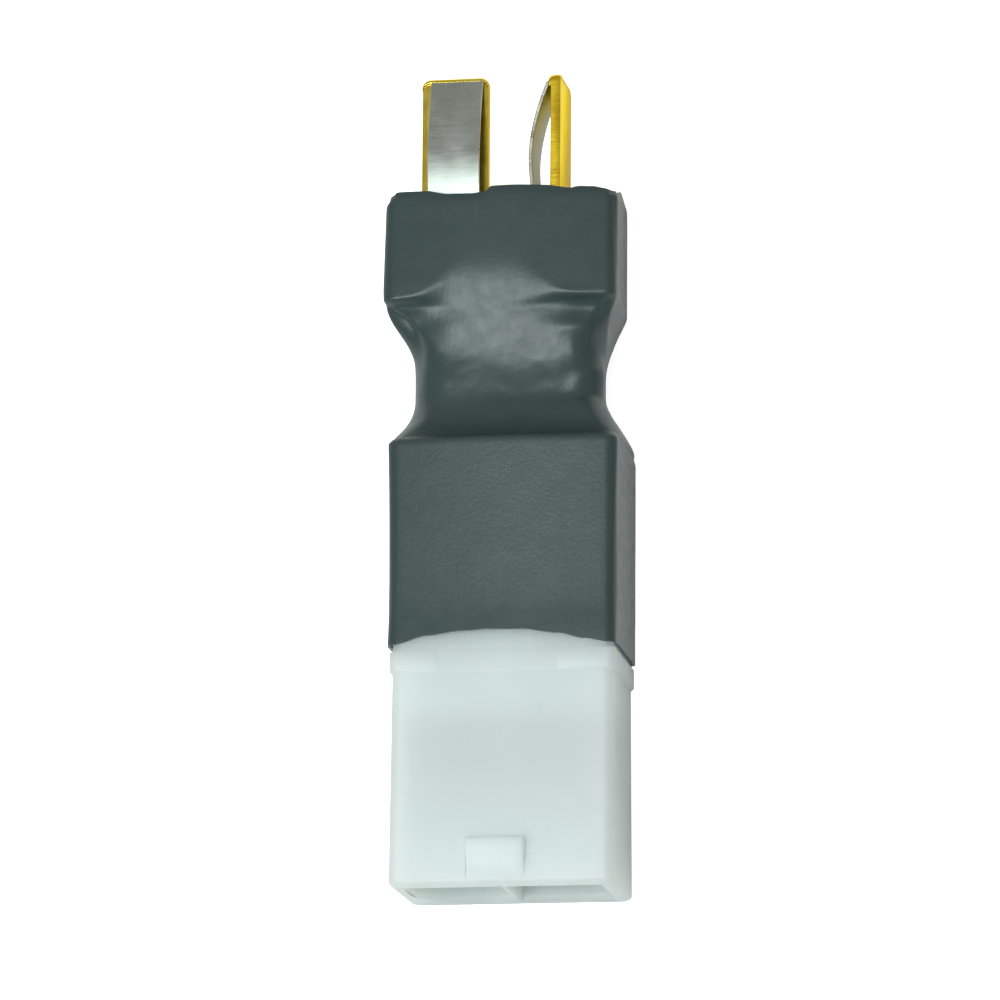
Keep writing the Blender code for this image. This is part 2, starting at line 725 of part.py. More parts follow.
def make_solder(side, material):
    """A mound of solder on the tab, over the end of the bare wire."""
    word = SIDE_NAMES[side]
    half = BLADE_THICKNESS / 2
    frame = blade_frame(side)
    out = 1 if side == LEFT else -1
    radius = CONDUCTOR_DIAMETER / 2
    top = WIRE_LIFT + radius + SOLDER_COVER
    bm = bmesh.new()
    bmesh.ops.create_uvsphere(bm, u_segments=20, v_segments=12, radius=1.0)
    height = top - half
    middle = Vector((0.0, CONDUCTOR_END - SOLDER_LENGTH / 2, half * out))
    size = Matrix.Diagonal((SOLDER_WIDTH / 2, SOLDER_LENGTH * 0.6, height, 1.0))
    bmesh.ops.transform(bm, matrix=frame @ Matrix.Translation(middle) @ size, verts=bm.verts)
    mound = mesh_object(f"{word}_solder_joint", bm, material)
    near, far = sorted((-top * out, (half + WIRE_FIT / 2) * out))
    under = box(
        f"{word}_solder_face_cutter",
        (-SOLDER_WIDTH, TAB_END - SOLDER_LENGTH, near),
        (SOLDER_WIDTH, BODY_START + SOLDER_LENGTH, far),
    )
    under.data.transform(frame)
    boolean(mound, "DIFFERENCE", under)
    end = wire_center(side, CONDUCTOR_END)
    start = CONDUCTOR_END - 2 * SOLDER_LENGTH
    bore = rod(f"{word}_solder_bore_cutter", radius + WIRE_FIT, start, CONDUCTOR_END + WIRE_FIT, end.x, end.z)
    boolean(mound, "DIFFERENCE", bore)


def joint_sleeve_center(side):
    """The small tube is shifted towards the wire, so that it goes round both the tab and the wire."""
    if side == LEFT:
        return blade_x(side), BODY_Z + JOINT_SLEEVE_SHIFT
    return blade_x(side) + JOINT_SLEEVE_SHIFT, BODY_Z


def make_joint_sleeve(side, material):
    bore = JOINT_SLEEVE_BORE / 2
    start = INSULATION_END - JOINT_SLEEVE_OVERLAP
    end = BODY_START - JOINT_SLEEVE_END_GAP
    profile = [(JOINT_SLEEVE_RADIUS, end), (JOINT_SLEEVE_RADIUS, start), (bore, start), (bore, end)]
    turned(f"{SIDE_NAMES[side]}_joint_sleeve", profile, *joint_sleeve_center(side), material)


def box_section(x, z, half_width, half_depth):
    """Left, right, back at left, back at right, front at left, front at right, corner radius."""
    back, front = z - half_depth, z + half_depth
    return x - half_width, x + half_width, back, back, front, front, SLEEVE_CORNER_RADIUS


def waist_section():
    """The sleeve drawn tight round the two small tubes, which lie side by side at unlike heights."""
    left_x, left_z = joint_sleeve_center(LEFT)
    right_x, right_z = joint_sleeve_center(RIGHT)
    r = WAIST_RADIUS
    return left_x - r, right_x + r, left_z - r, right_z - r, left_z + r, right_z + r, r


def sleeve_section(distance):
    """The section at a place along. Past a shoulder, the left and front fall in at one rate, the rest at another."""
    if distance < SHOULDER + WAIST_FALL:
        near = box_section(HOUSING_X, HOUSING_Z, BLOCK_HALF_WIDTH, BLOCK_HALF_DEPTH)
        t = min(1.0, max(0.0, (distance - SHOULDER) / WAIST_FALL))
        left, right = 1 - (1 - t) ** 2, smooth(t)
    else:
        near = box_section(BODY_X, BODY_Z, PLUG_HALF_WIDTH, PLUG_HALF_DEPTH)
        t = min(1.0, max(0.0, (BODY_START - distance) / WAIST_RISE))
        left, right = smooth((BODY_START - distance) / WAIST_LEFT_RISE), 1 - (1 - t) ** 1.4
    shares = (left, right, right, right, left, left, (left + right) / 2)
    return [mix(a, b, share) for a, b, share in zip(near, waist_section(), shares)]


def waist_share(distance):
    """1 in the narrowest part of the waist, and 0 where the sleeve lies on the housing or the plug."""
    return smooth((distance - SHOULDER) / WAIST_FALL) - smooth(1 - (BODY_START - distance) / WAIST_RISE)


def sleeve_ring(distance, inset=0.0, hem=False):
    """One ring round the sleeve, with as many points on each side and corner as every other ring."""
    low, high, back_left, back_right, front_left, front_right, radius = sleeve_section(distance)
    low, high = low + inset, high - inset
    half = (front_left + front_right - back_left - back_right) / 4 - inset
    radius = min(radius, half)
    left, right, flat = low + radius, high - radius, half - radius
    dip = WAIST_DIP * waist_share(distance)
    plan = []
    for i in range(LONG_SIDE_STEPS):
        t = i / LONG_SIDE_STEPS
        plan.append((mix(right, left, t), half - dip * math.sin(math.pi * t) ** 2))
    plan += arc((left, flat), radius, 90, 180, CORNER_STEPS)[:-1]
    plan += [(low, mix(flat, -flat, i / SHORT_SIDE_STEPS)) for i in range(SHORT_SIDE_STEPS)]
    plan += arc((left, -flat), radius, 180, 270, CORNER_STEPS)[:-1]
    for i in range(LONG_SIDE_STEPS):
        t = i / LONG_SIDE_STEPS
        plan.append((mix(left, right, t), dip * math.sin(math.pi * t) ** 2 - half))
    plan += arc((right, -flat), radius, 270, 360, CORNER_STEPS)[:-1]
    plan += [(high, mix(-flat, flat, i / SHORT_SIDE_STEPS)) for i in range(SHORT_SIDE_STEPS)]
    plan += arc((right, flat), radius, 0, 90, CORNER_STEPS)[:-1]
    ring = []
    for x, v in plan:
        t = min(1.0, max(0.0, (x - left) / (right - left)))
        middle = mix(front_left + back_left, front_right + back_right, t) / 2
        rise = HEM_RISE * (1 - (2 * t - 1) ** 2) if hem and abs(v) > flat else 0.0
        ring.append((x, along(distance + rise), middle + v))
    return ring


def make_sleeve(material):
    """The outer sleeve: an open tube shrunk over the housing's back, the two joints and the plug's body."""
    waist_start, waist_end = SHOULDER + WAIST_FALL, BODY_START - WAIST_RISE
    hem = FLANGE_END + FLANGE_STEP + HEM_GAP
    rings = [sleeve_ring(hem, hem=True)]
    rings += [sleeve_ring(mix(hem + 2 * HEM_RISE, SHOULDER - SHOULDER_ROUND, i / 4)) for i in range(5)]
    rings.append(sleeve_ring(SHOULDER - SHOULDER_ROUND / 3, SHOULDER_ROUND * 0.15))
    rings += [sleeve_ring(mix(SHOULDER, waist_start, i / 9), SHOULDER_ROUND * 0.4 * (1 - i / 9)) for i in range(9)]
    rings += [sleeve_ring(mix(waist_start, waist_end, i / 2)) for i in range(3)]
    rings += [sleeve_ring(mix(waist_end, BODY_START, i / 9)) for i in range(1, 9)]
    rings += [sleeve_ring(mix(BODY_START, BODY_END - BODY_EDGE_RADIUS, i / 4)) for i in range(5)]
    rings.append(sleeve_ring(BODY_END - BODY_EDGE_RADIUS / 3, RIM_CURL * 0.3))
    rings.append(sleeve_ring(BODY_END + RIM_OVERHANG, RIM_CURL))
    sleeve = loft("outer_sleeve", rings, material, capped=False)
    wall = sleeve.modifiers.new("wall", "SOLIDIFY")
    wall.thickness = SLEEVE_WALL
    wall.offset = -1.0
    wall.use_even_offset = True
    wall.use_rim = True


def make_materials():
    return {
        "natural_nylon": make_material("natural_nylon", (0.66, 0.72, 0.69), 0.35),
        "black_nylon": make_material("black_nylon", (0.02, 0.02, 0.022), 0.4),
        "gold_plate": make_material("gold_plate", (0.80, 0.58, 0.16), 0.28, 1.0),
        "silver_plate": make_material("silver_plate", (0.72, 0.73, 0.71), 0.3, 1.0),
        "pin_brass": make_material("pin_brass", (0.78, 0.57, 0.30), 0.35, 1.0),
        "solder": make_material("solder", (0.62, 0.63, 0.65), 0.3, 1.0),
        "copper_strand": make_material("copper_strand", (0.72, 0.38, 0.24), 0.35, 1.0),
        "black_insulation": make_material("black_insulation", (0.03, 0.03, 0.03), 0.5),
        "red_insulation": make_material("red_insulation", (0.45, 0.03, 0.025), 0.5),
        "shrink_tube": make_material("shrink_tube", (0.06, 0.075, 0.085), 0.45),
    }


def main():
    materials = make_materials()
    make_housing(materials["natural_nylon"])
    make_body(materials["black_nylon"])
    insulation = {LEFT: materials["black_insulation"], RIGHT: materials["red_insulation"]}
    for side in SIDE_NAMES:
        make_pin(side, materials["pin_brass"])
        make_wire(side, materials["copper_strand"], insulation[side])
        make_blade(side, materials["gold_plate"])
        make_leaf(side, materials["silver_plate"])
        make_solder(side, materials["solder"])
        make_joint_sleeve(side, insulation[side])
    make_sleeve(materials["shrink_tube"])


clear_scene()
PARTS = make_collection("battery_connector_adapter")
CUTTERS = make_collection("cutters", hidden=True)
main()
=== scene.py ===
"""Looks for the battery connector adapter: a bladed plug and a white block socket under a shrunk black sleeve.

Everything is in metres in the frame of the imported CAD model. +X is across the adapter, +Y runs from the socket's
mouth to the tips of the blades, and +Z is up, out of the front. Places along it are counted from the mouth.
"""

import math

import bmesh
import bpy
import numpy as np
from mathutils import Matrix, Vector, noise


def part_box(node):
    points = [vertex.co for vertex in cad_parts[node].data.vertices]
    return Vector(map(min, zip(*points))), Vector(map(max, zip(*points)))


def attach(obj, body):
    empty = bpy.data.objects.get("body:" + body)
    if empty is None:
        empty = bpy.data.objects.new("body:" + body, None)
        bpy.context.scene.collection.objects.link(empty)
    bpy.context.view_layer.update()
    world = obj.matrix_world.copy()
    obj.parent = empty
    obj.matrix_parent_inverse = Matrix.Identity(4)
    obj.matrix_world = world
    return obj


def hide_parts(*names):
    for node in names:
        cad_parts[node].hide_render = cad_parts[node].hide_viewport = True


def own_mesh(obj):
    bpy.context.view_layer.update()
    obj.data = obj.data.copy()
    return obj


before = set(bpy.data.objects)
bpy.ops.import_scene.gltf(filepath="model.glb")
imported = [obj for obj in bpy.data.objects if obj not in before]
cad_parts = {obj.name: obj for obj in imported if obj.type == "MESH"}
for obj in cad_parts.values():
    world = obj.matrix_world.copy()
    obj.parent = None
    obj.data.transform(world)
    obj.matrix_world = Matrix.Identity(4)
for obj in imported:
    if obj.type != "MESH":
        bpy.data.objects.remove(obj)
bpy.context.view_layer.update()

MM = 0.001
LEFT, RIGHT = -1, 1
SIDE_NAMES = {LEFT: "left", RIGHT: "right"}
BODY = "adapter"


def span(node):
    """Middle, lowest corner and highest corner of a CAD node."""
    low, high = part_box(node)
    return (low + high) / 2, low, high


# Sizes taken from the CAD nodes
HOUSING, HOUSING_LOW, HOUSING_HIGH = span("socket_housing")
PLUG, PLUG_LOW, PLUG_HIGH = span("plug_body")
MOUTH = HOUSING_LOW.y
HOUSING_END = HOUSING_HIGH.y - MOUTH
PLUG_START = PLUG_LOW.y - MOUTH
PLUG_END = PLUG_HIGH.y - MOUTH

# The outer sleeve's wall and sections, as in the part's source
SLEEVE_WALL = 0.22 * MM
SLEEVE_GROWTH = 0.28 * MM
SLEEVE_CORNER = 0.85 * MM
HOUSING_HALF_DEPTH = 5.08 * MM
HOUSING_MIDDLE_Z = HOUSING_LOW.z + HOUSING_HALF_DEPTH
BLOCK_SECTION_HALF = (8.50 * MM, 5.16 * MM)
PLUG_SECTION_HALF = (8.53 * MM, 4.38 * MM)

# The sleeve's course, with how fast it falls into its waist and rises again, at its left, its front and elsewhere
HEM = HOUSING_END - 15.3 * MM
SHOULDER = HOUSING_END + SLEEVE_GROWTH
RIM = PLUG_END + 0.15 * MM
WAIST_FALL = 3.9 * MM
WAIST_RISE = 5.3 * MM
WAIST_LEFT_RISE = 4.25 * MM
WAIST_FRONT_RISE = (4.4 * MM, 5.4 * MM)
WAIST_DIP = 0.2 * MM
WAIST_FRONT_DIP_SHARE = 0.2
PLUG_LEAN = 0.4 * MM
PLUG_LEAN_REACH = 2 * MM
SHOULDER_CUT = 0.16 * MM
SHOULDER_CUT_REACH = 0.5 * MM
EASING_ROUNDS = 4

# Its crease and its two cut ends
CREASE_CLIMB = 0.3 * MM
CREASE_CLIMB_REACH = 3.5 * MM
RIM_CURL = 0.18 * MM
RIM_CURL_REACH = 0.65 * MM
RIM_OBLIQUE = 0.9 * MM
RIM_REACH = 1.5 * MM
HEM_REACH = 3 * MM
RAGGED = 0.05 * MM
RAGGED_SCALE = 450

# Blades and leaf springs, as in the part's source, but with the leaf's foot a little higher over the blade
BLADE_THICKNESS = 0.75 * MM
LEAF_WIDTH = 3.95 * MM
LEAF_THICKNESS = 0.27 * MM
LEAF_EDGE_RADIUS = 0.05 * MM
LEFT_LEAF_SHIFT = 0.18 * MM
LEAF_CROWN = 1.62 * MM
LEAF_CROWN_PLACE = 3.3 * MM
LEAF_FOOT_DROP = 0.36 * MM
LEAF_FOOT_CURVE = 1.9
LEAF_TIP_LIFT = 0.27 * MM
LEAF_TIP_CURVE = 1.8
LEAF_ROOT_DEPTH = 2.0 * MM
LEAF_BEND_DEPTH = 1.5 * MM
LEAF_FIT = 0.06 * MM
LIP_OVER_LEAF = 0.40 * MM

# Wires
CONDUCTOR_RADIUS = 0.75 * MM
STRAND_RADIUS = 0.148 * MM
STRAND_RING_RADIUS = 0.300 * MM
STRAND_PITCH = 14 * MM

# How the CAD nodes' meshes are finished: what counts as one point, one flat face and one real edge, and how wide
# a face has to be beside a bevel
JOIN_DISTANCE = 2e-6
FLAT_ANGLE = math.radians(0.6)
REAL_EDGE_ANGLE = math.radians(32)
ROOM_FOR_BEVEL = 2.2
SIDEWAYS = 0.6
SOCKET_BEVEL = 0.085 * MM
PLUG_BEVEL = 0.05 * MM
BLADE_BEVEL = 0.045 * MM
PIN_BEVEL = 0.03 * MM
JACKET_BEVEL = 0.04 * MM
TUBE_BEVEL = 0.06 * MM


def along(distance):
    """Y of a place that is this far from the socket's mouth."""
    return MOUTH + distance


def clamp(t):
    return min(1.0, max(0.0, t))


def ease(t):
    """From 0 to 1 with a soft start and a soft end. t, a number or an array, is already between 0 and 1."""
    return t * t * (3 - 2 * t)


def smooth(t):
    return ease(clamp(t))


def mix(a, b, t):
    return a + (b - a) * t


def through(points, x):
    """A smooth line through (place, value) points, which are in millimetres, at a place in millimetres."""
    places, values = zip(*points)
    for a, b, u, v in zip(places, places[1:], values, values[1:]):
        if x <= b:
            return mix(u, v, smooth((x - a) / (b - a)))
    return values[-1]


# ---------------------------------------------------------------- nodes for the materials


def linear(code):
    """An sRGB hex value, such as 8090a0, as a linear colour."""
    channels = [int(code[i : i + 2], 16) / 255 for i in (0, 2, 4)]
    return (*[c / 12.92 if c <= 0.04045 else ((c + 0.055) / 1.055) ** 2.4 for c in channels], 1.0)


def add(tree, kind, inputs=None, **settings):
    """Adds a node with its settings. An input is given a value, or another node's output to link from."""
    node = tree.nodes.new(kind)
    for name, value in settings.items():
        setattr(node, name, value)
    for name, value in (inputs or {}).items():
        if isinstance(value, bpy.types.NodeSocket):
            tree.links.new(value, node.inputs[name])
        else:
            node.inputs[name].default_value = value
    return node


def start_material(name, **shader_inputs):
    """A material with its Principled shader's inputs set, and its Object coordinates ready for patterns."""
    material = bpy.data.materials.new(name)
    material.use_nodes = True
    tree = material.node_tree
    shader = tree.nodes["Principled BSDF"]
    for socket, value in shader_inputs.items():
        shader.inputs[socket.replace("_", " ")].default_value = value
    place = add(tree, "ShaderNodeTexCoord").outputs["Object"]
    return material, tree, shader, place


def stretched(tree, place, factors, rotation=(0.0, 0.0, 0.0)):
    """Object coordinates stretched, and turned, so that a pattern runs long in one direction."""
    inputs = {"Vector": place, "Rotation": rotation, "Scale": factors}
    return add(tree, "ShaderNodeMapping", inputs).outputs["Vector"]


def cloudy(tree, place, size, detail, **more):
    """Noise whose features are about this many millimetres."""
    inputs = {"Vector": place, "Scale": 1000.0 / size, "Detail": detail, **more}
    return add(tree, "ShaderNodeTexNoise", inputs).outputs["Fac"]


def ranged(tree, value, source, target, **settings):
    """A value taken from one range to another."""
    inputs = {"Value": value, 1: source[0], 2: source[1], 3: target[0], 4: target[1]}
    return add(tree, "ShaderNodeMapRange", inputs, **settings).outputs[0]


def calculated(tree, operation, *values):
    return add(tree, "ShaderNodeMath", dict(enumerate(values)), operation=operation).outputs[0]


def blended(tree, share, first, second):
    """Two colours blended."""
    return add(tree, "ShaderNodeMix", {0: share, 6: first, 7: second}, data_type="RGBA").outputs[2]


def averaged(tree, share, first, second):
    """Two values blended."""
    return add(tree, "ShaderNodeMix", {0: share, 2: first, 3: second}, data_type="FLOAT").outputs[0]


def finish_material(tree, shader, color, rough, height, strength, depth):
    """Feeds a colour, a roughness and a relief of so many millimetres into the shader."""
    bump = add(tree, "ShaderNodeBump", {"Height": height, "Strength": strength, "Distance": depth * MM})
    tree.links.new(color, shader.inputs["Base Color"])
    tree.links.new(rough, shader.inputs["Roughness"])
    tree.links.new(bump.outputs["Normal"], shader.inputs["Normal"])


# ---------------------------------------------------------------- materials


def sleeve_material():
    """Shrunk polyolefin: satin slate black with fine orange peel, faint lengthwise drawing lines and rub marks."""
    material, tree, shader, place = start_material("shrunk_polyolefin", IOR=1.49)
    mottle = cloudy(tree, place, size=3.2, detail=5.0)
    slate = blended(tree, mottle, linear("314041"), linear("384748"))
    # rub marks: thin, slanting and paler, only where a coarse noise lets them be
    slanting = stretched(tree, place, (1.0, 0.09, 1.0), rotation=(0.0, 0.0, math.radians(-24)))
    scratch = cloudy(tree, slanting, size=0.5, detail=1.0)
    thin = ranged(tree, scratch, (0.69, 0.74), (0.0, 1.0))
    region = cloudy(tree, place, size=6.0, detail=0.0)
    allowed = ranged(tree, region, (0.58, 0.68), (0.0, 0.07))
    rubbed = calculated(tree, "MULTIPLY", thin, allowed)
    color = blended(tree, rubbed, slate, linear("6f7a7d"))
    sheen = cloudy(tree, place, size=1.1, detail=4.0)
    rough = ranged(tree, sheen, (0.3, 0.7), (0.33, 0.41))
    # orange peel of about 0.3 mm, and fine drawing lines along the tube
    peel = cloudy(tree, place, size=0.33, detail=3.0, Roughness=0.6)
    drawn = cloudy(tree, stretched(tree, place, (1.0, 0.02, 1.0)), size=0.25, detail=2.0)
    height = averaged(tree, 0.25, peel, drawn)
    finish_material(tree, shader, color, rough, height, strength=0.7, depth=0.025)
    return material


def nylon_material():
    """Natural nylon 6/6: milky and faintly blue-green, lets light in, with the soft gloss of a moulded face."""
    material, tree, shader, place = start_material(
        "natural_nylon_66",
        IOR=1.53,
        Subsurface_Weight=1.0,
        Subsurface_Radius=(1.0, 1.0, 0.9),
        Subsurface_Scale=7.0 * MM,
        Transmission_Weight=0.10,
    )
    cloud = cloudy(tree, place, size=4.5, detail=3.0)
    color = blended(tree, cloud, linear("e2f6f2"), linear("e9fbf7"))
    gloss = cloudy(tree, place, size=0.9, detail=4.0)
    rough = ranged(tree, gloss, (0.3, 0.7), (0.44, 0.54))
    # fine spark-eroded mould texture, drawn at 0.25 mm so that it shows
    grain = cloudy(tree, place, size=0.25, detail=2.0)
    finish_material(tree, shader, color, rough, grain, strength=0.35, depth=0.008)
    return material


def metal_material(name, colors, roughness, streak, depth, spacing, grazing="ffffff"):
    """A plated or drawn metal: two close tones in streaks, roughness that varies with them, and fine lines.

    streak says how each axis is stretched, depth how deep the lines are and spacing how far apart, both in mm, and
    grazing which tint the metal keeps where it is seen at a low angle."""
    material, tree, shader, place = start_material(name, Metallic=1.0, Specular_Tint=linear(grazing))
    lines = cloudy(tree, stretched(tree, place, streak), size=spacing, detail=3.0, Roughness=0.65)
    cloud = cloudy(tree, place, size=1.6, detail=4.0)
    spread = ranged(tree, averaged(tree, 0.5, lines, cloud), (0.36, 0.64), (0.0, 1.0))
    color = blended(tree, spread, linear(colors[0]), linear(colors[1]))
    rough = ranged(tree, spread, (0.0, 1.0), roughness)
    finish_material(tree, shader, color, rough, lines, strength=0.6, depth=depth)
    return material


def plastic_material(name, colors, roughness, grain, depth, ior):
    """A dyed plastic or rubber: close tones, an even gloss and a grain of so many millimetres."""
    material, tree, shader, place = start_material(name, IOR=ior)
    cloud = cloudy(tree, place, size=2.0, detail=4.0)
    color = blended(tree, cloud, linear(colors[0]), linear(colors[1]))
    rough = ranged(tree, cloud, (0.3, 0.7), roughness)
    height = cloudy(tree, place, size=grain, detail=2.0)
    finish_material(tree, shader, color, rough, height, strength=0.5, depth=depth)
    return material


# Which way a metal's lines run, and how long they are drawn out
ALONG_BLADE, ALONG_PIN, ALONG_WIRE = (1.0, 0.05, 1.0), (1.0, 0.08, 1.0), (1.0, 0.2, 1.0)
ACROSS_LEAF, ACROSS_EDGE, NO_WAY = (0.08, 1.0, 1.0), (0.1, 1.0, 0.1), (1.0, 1.0, 1.0)
GOLD_TINT = "fae6a0"

# Gold over brass, with the faint lengthwise lines of rolled strip
GOLD = metal_material(
    "gold_plated_brass", ("ecce4c", "f6dc62"), (0.16, 0.26), ALONG_BLADE, 0.004, 0.12, GOLD_TINT
)
# The blanked edges of the blades: ribs across the strip, torn by the punch and plated over, drawn 0.16 mm apart
GOLD_EDGE = metal_material(
    "gold_plated_blanked_edge", ("e0b42c", "f4d440"), (0.28, 0.42), ACROSS_EDGE, 0.02, 0.16, GOLD_TINT
)
# Silver over spring bronze: soft grey, lightly brushed across
SILVER = metal_material(
    "silver_plated_spring_bronze", ("a6aaa3", "bcc1bd"), (0.34, 0.44), ACROSS_LEAF, 0.003, 0.14
)
# The springs' blanked edges, ribbed across
SILVER_EDGE = metal_material(
    "silver_plated_blanked_edge", ("b4b2a0", "e6e6da"), (0.25, 0.42), ACROSS_EDGE, 0.02, 0.2
)
# Bright brass strip, rolled round into a pin
BRASS = metal_material("rolled_brass", ("d9b36c", "ecca86"), (0.20, 0.32), ALONG_PIN, 0.003, 0.12)
# Tin-silver solder: bright and wetted, with a soft ripple
SOLDER = metal_material("tin_silver_solder", ("bfc0c4", "d2d3d6"), (0.16, 0.30), NO_WAY, 0.02, 0.5)
# Bare drawn copper of each strand
COPPER = metal_material("drawn_copper", ("c9784f", "e09468"), (0.22, 0.34), ALONG_WIRE, 0.003, 0.1)
# Glass-filled black nylon: satin, with a dry moulded skin
BLACK_NYLON = plastic_material("moulded_black_nylon", ("17191a", "1f2122"), (0.36, 0.48), 0.3, 0.012, 1.53)
# Silicone wire jackets: matt and soft, red and black
BLACK_SILICONE = plastic_material("black_silicone_jacket", ("181919", "202121"), (0.50, 0.62), 0.2, 0.008, 1.41)
RED_SILICONE = plastic_material("red_silicone_jacket", ("8f1714", "a41d18"), (0.48, 0.60), 0.2, 0.008, 1.41)
# Small tubes over the joints, the same stuff as the outer sleeve but thinner and glossier
BLACK_TUBE = plastic_material("black_shrink_tube", ("1b1d1e", "242728"), (0.34, 0.46), 0.35, 0.012, 1.49)
RED_TUBE = plastic_material("red_shrink_tube", ("a01a15", "b5231b"), (0.32, 0.44), 0.35, 0.012, 1.49)
SLEEVE = sleeve_material()
NYLON = nylon_material()


# ---------------------------------------------------------------- pieces


def new_object(name, mesh, materials):
    obj = bpy.data.objects.new(name, mesh)
    bpy.context.scene.collection.objects.link(obj)
    for material in materials:
        mesh.materials.append(material)
    return obj


def settled(obj):
    """The object with its modifiers made real."""
    graph = bpy.context.evaluated_depsgraph_get()
    mesh = bpy.data.meshes.new_from_object(obj.evaluated_get(graph))
    obj.modifiers.clear()
    obj.data = mesh
    mesh.name = obj.name
    return obj


def shade(obj, angle):
    """Smooth shading, with every edge hard that turns by more than an angle in degrees."""
    obj.data.shade_smooth()
    obj.data.set_sharp_from_angle(angle=math.radians(angle))


def soften(obj, angle=40):
    """Smooth shading with hard edges kept, and large flat faces kept flat beside their bevels."""
    shade(obj, angle)
    normals = obj.modifiers.new("normals", "WEIGHTED_NORMAL")
    normals.keep_sharp = True
    settled(obj)


def stands_for(obj, node):
    """The piece rides where its CAD node rides, and is shown in its place."""
    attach(obj, BODY)
    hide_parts(node)


def narrow(face):
    """How narrow a face is: its area over its longest edge."""
    return face.calc_area() / max(e.calc_length() for e in face.edges)


def merged_mesh(node, bevel):
    """A CAD node's mesh with its triangles joined and every real edge, wide enough for it, rounded over."""
    bm = bmesh.new()
    bm.from_mesh(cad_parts[node].data)
    bmesh.ops.remove_doubles(bm, verts=bm.verts, dist=JOIN_DISTANCE)
    bmesh.ops.dissolve_limit(
        bm, angle_limit=FLAT_ANGLE, verts=bm.verts, edges=bm.edges, use_dissolve_boundaries=False
    )
    if bevel:
        sharp = [
            e
            for e in bm.edges
            if len(e.link_faces) == 2
            and e.calc_face_angle() > REAL_EDGE_ANGLE
            and min(narrow(f) for f in e.link_faces) > ROOM_FOR_BEVEL * bevel
        ]
        bmesh.ops.bevel(
            bm, geom=sharp, offset=bevel, segments=2, profile=0.5, affect="EDGES", clamp_overlap=False
        )
    mesh = bpy.data.meshes.new(node)
    bm.to_mesh(mesh)
    bm.free()
    return mesh


def dressed(name, node, bevel, material, edge_material=None, across=0):
    """A finished copy of a CAD node. Faces that look across get their own material where one is given."""
    mesh = merged_mesh(node, bevel)
    obj = new_object(name, mesh, [material] + ([edge_material] if edge_material else []))
    if edge_material:
        for face in mesh.polygons:
            face.material_index = 1 if abs(face.normal[across]) > SIDEWAYS else 0
    soften(obj)
    stands_for(obj, node)


def node_group(name, inputs):
    """An empty Geometry Nodes tree with named inputs, its inputs' sockets and its output node."""
    tree = bpy.data.node_groups.new(name, "GeometryNodeTree")
    tree.interface.new_socket(name="Geometry", in_out="INPUT", socket_type="NodeSocketGeometry")
    for socket, kind in inputs.items():
        tree.interface.new_socket(name=socket, in_out="INPUT", socket_type=f"NodeSocket{kind}")
    tree.interface.new_socket(name="Geometry", in_out="OUTPUT", socket_type="NodeSocketGeometry")
    return tree, tree.nodes.new("NodeGroupInput").outputs, tree.nodes.new("NodeGroupOutput")


def grown(name, points, tree, values):
    """A path of points taken through a Geometry Nodes tree, as a plain mesh."""
    mesh = bpy.data.meshes.new(name)
    mesh.from_pydata(points, [(i, i + 1) for i in range(len(points) - 1)], [])
    obj = new_object(name, mesh, [])
    modifier = obj.modifiers.new(tree.name, "NODES")
    modifier.node_group = tree
    names = {item.name: item.identifier for item in tree.interface.items_tree if item.in_out == "INPUT"}
    for socket, value in values.items():
        modifier[names[socket]] = value
    return settled(obj)


# ---------------------------------------------------------------- outer sleeve

# Steps of one ring: across a long face, round a corner and up a short face
LONG_STEPS, CORNER_STEPS, SHORT_STEPS = 46, 12, 16
RING_STEPS = 2 * (LONG_STEPS + SHORT_STEPS) + 4 * CORNER_STEPS

# How far the hem and the rim run past or short of a straight cut, in mm, by place across in mm
FRONT_HEM = [
    (-8.4, 0.0), (-7.6, 0.18), (-5.0, 0.74), (-2.5, 0.99), (-0.6, 1.07), (2.0, 1.0), (4.6, 0.68), (6.6, 0.26),
    (8.2, 0.0),
]
FRONT_RIM = [
    (-8.9, -0.62), (-8.2, -0.16), (-7.9, 0.08), (-5.9, 0.02), (-4.0, -0.29), (-2.3, -0.32), (-1.2, -0.2),
    (-0.75, 0.22), (1.0, 0.27), (3.2, 0.2), (5.2, -0.04), (5.7, 0.1), (6.9, 0.08), (7.5, -0.06), (8.4, -0.2),
]

# Marks of shrinking on the front, all in mm: height, place (across, along), size (across, along) and how much
# shorter the mark is towards the rim
CREASE = PLUG_START / MM
MARKS = {
    # hollows under the crease at the plug's back edge, falling away to both sides, deeper at the left
    "right_hollow": (-0.56, (7.2, CREASE - 0.9), (2.3, 1.5), 2.0),
    "right_hollow_tail": (-0.12, (3.6, CREASE - 0.65), (2.2, 0.9), 2.2),
    "left_hollow": (-0.80, (-7.5, CREASE - 1.7), (2.3, 2.5), 1.9),
    "left_hollow_tail": (-0.05, (-4.6, CREASE - 0.8), (1.7, 0.9), 1.8),
    # the ridges of the crease itself
    "right_ridge": (0.05, (5.4, CREASE + 0.20), (3.4, 0.35), 1.0),
    "left_ridge": (0.04, (-6.4, CREASE + 0.15), (2.2, 0.35), 1.0),
    # a fold from the right edge of the front, its bright lip above it and the swelling below it
    "fold": (-0.55, (8.0, 40.6), (1.9, 1.15), 1.0),
    "fold_lip": (0.20, (5.4, 42.0), (1.7, 0.6), 1.0),
    "swelling": (0.38, (5.9, 38.6), (1.3, 1.1), 1.0),
    # the back edge of the plug, rounder in its middle
    "middle": (-0.05, (-0.6, CREASE), (3.4, 1.6), 1.0),
}

# Broad forms of the front, all in mm: both flat fronts bulge across, with (middle, half width) of each bulge
BULGE = 0.42
BLOCK_BULGE, PLUG_BULGE = (0.2, 8.3), (-1.6, 8.6)
BLOCK_BULGE_END, BLOCK_BULGE_FADE = SHOULDER / MM + 0.25, 0.6
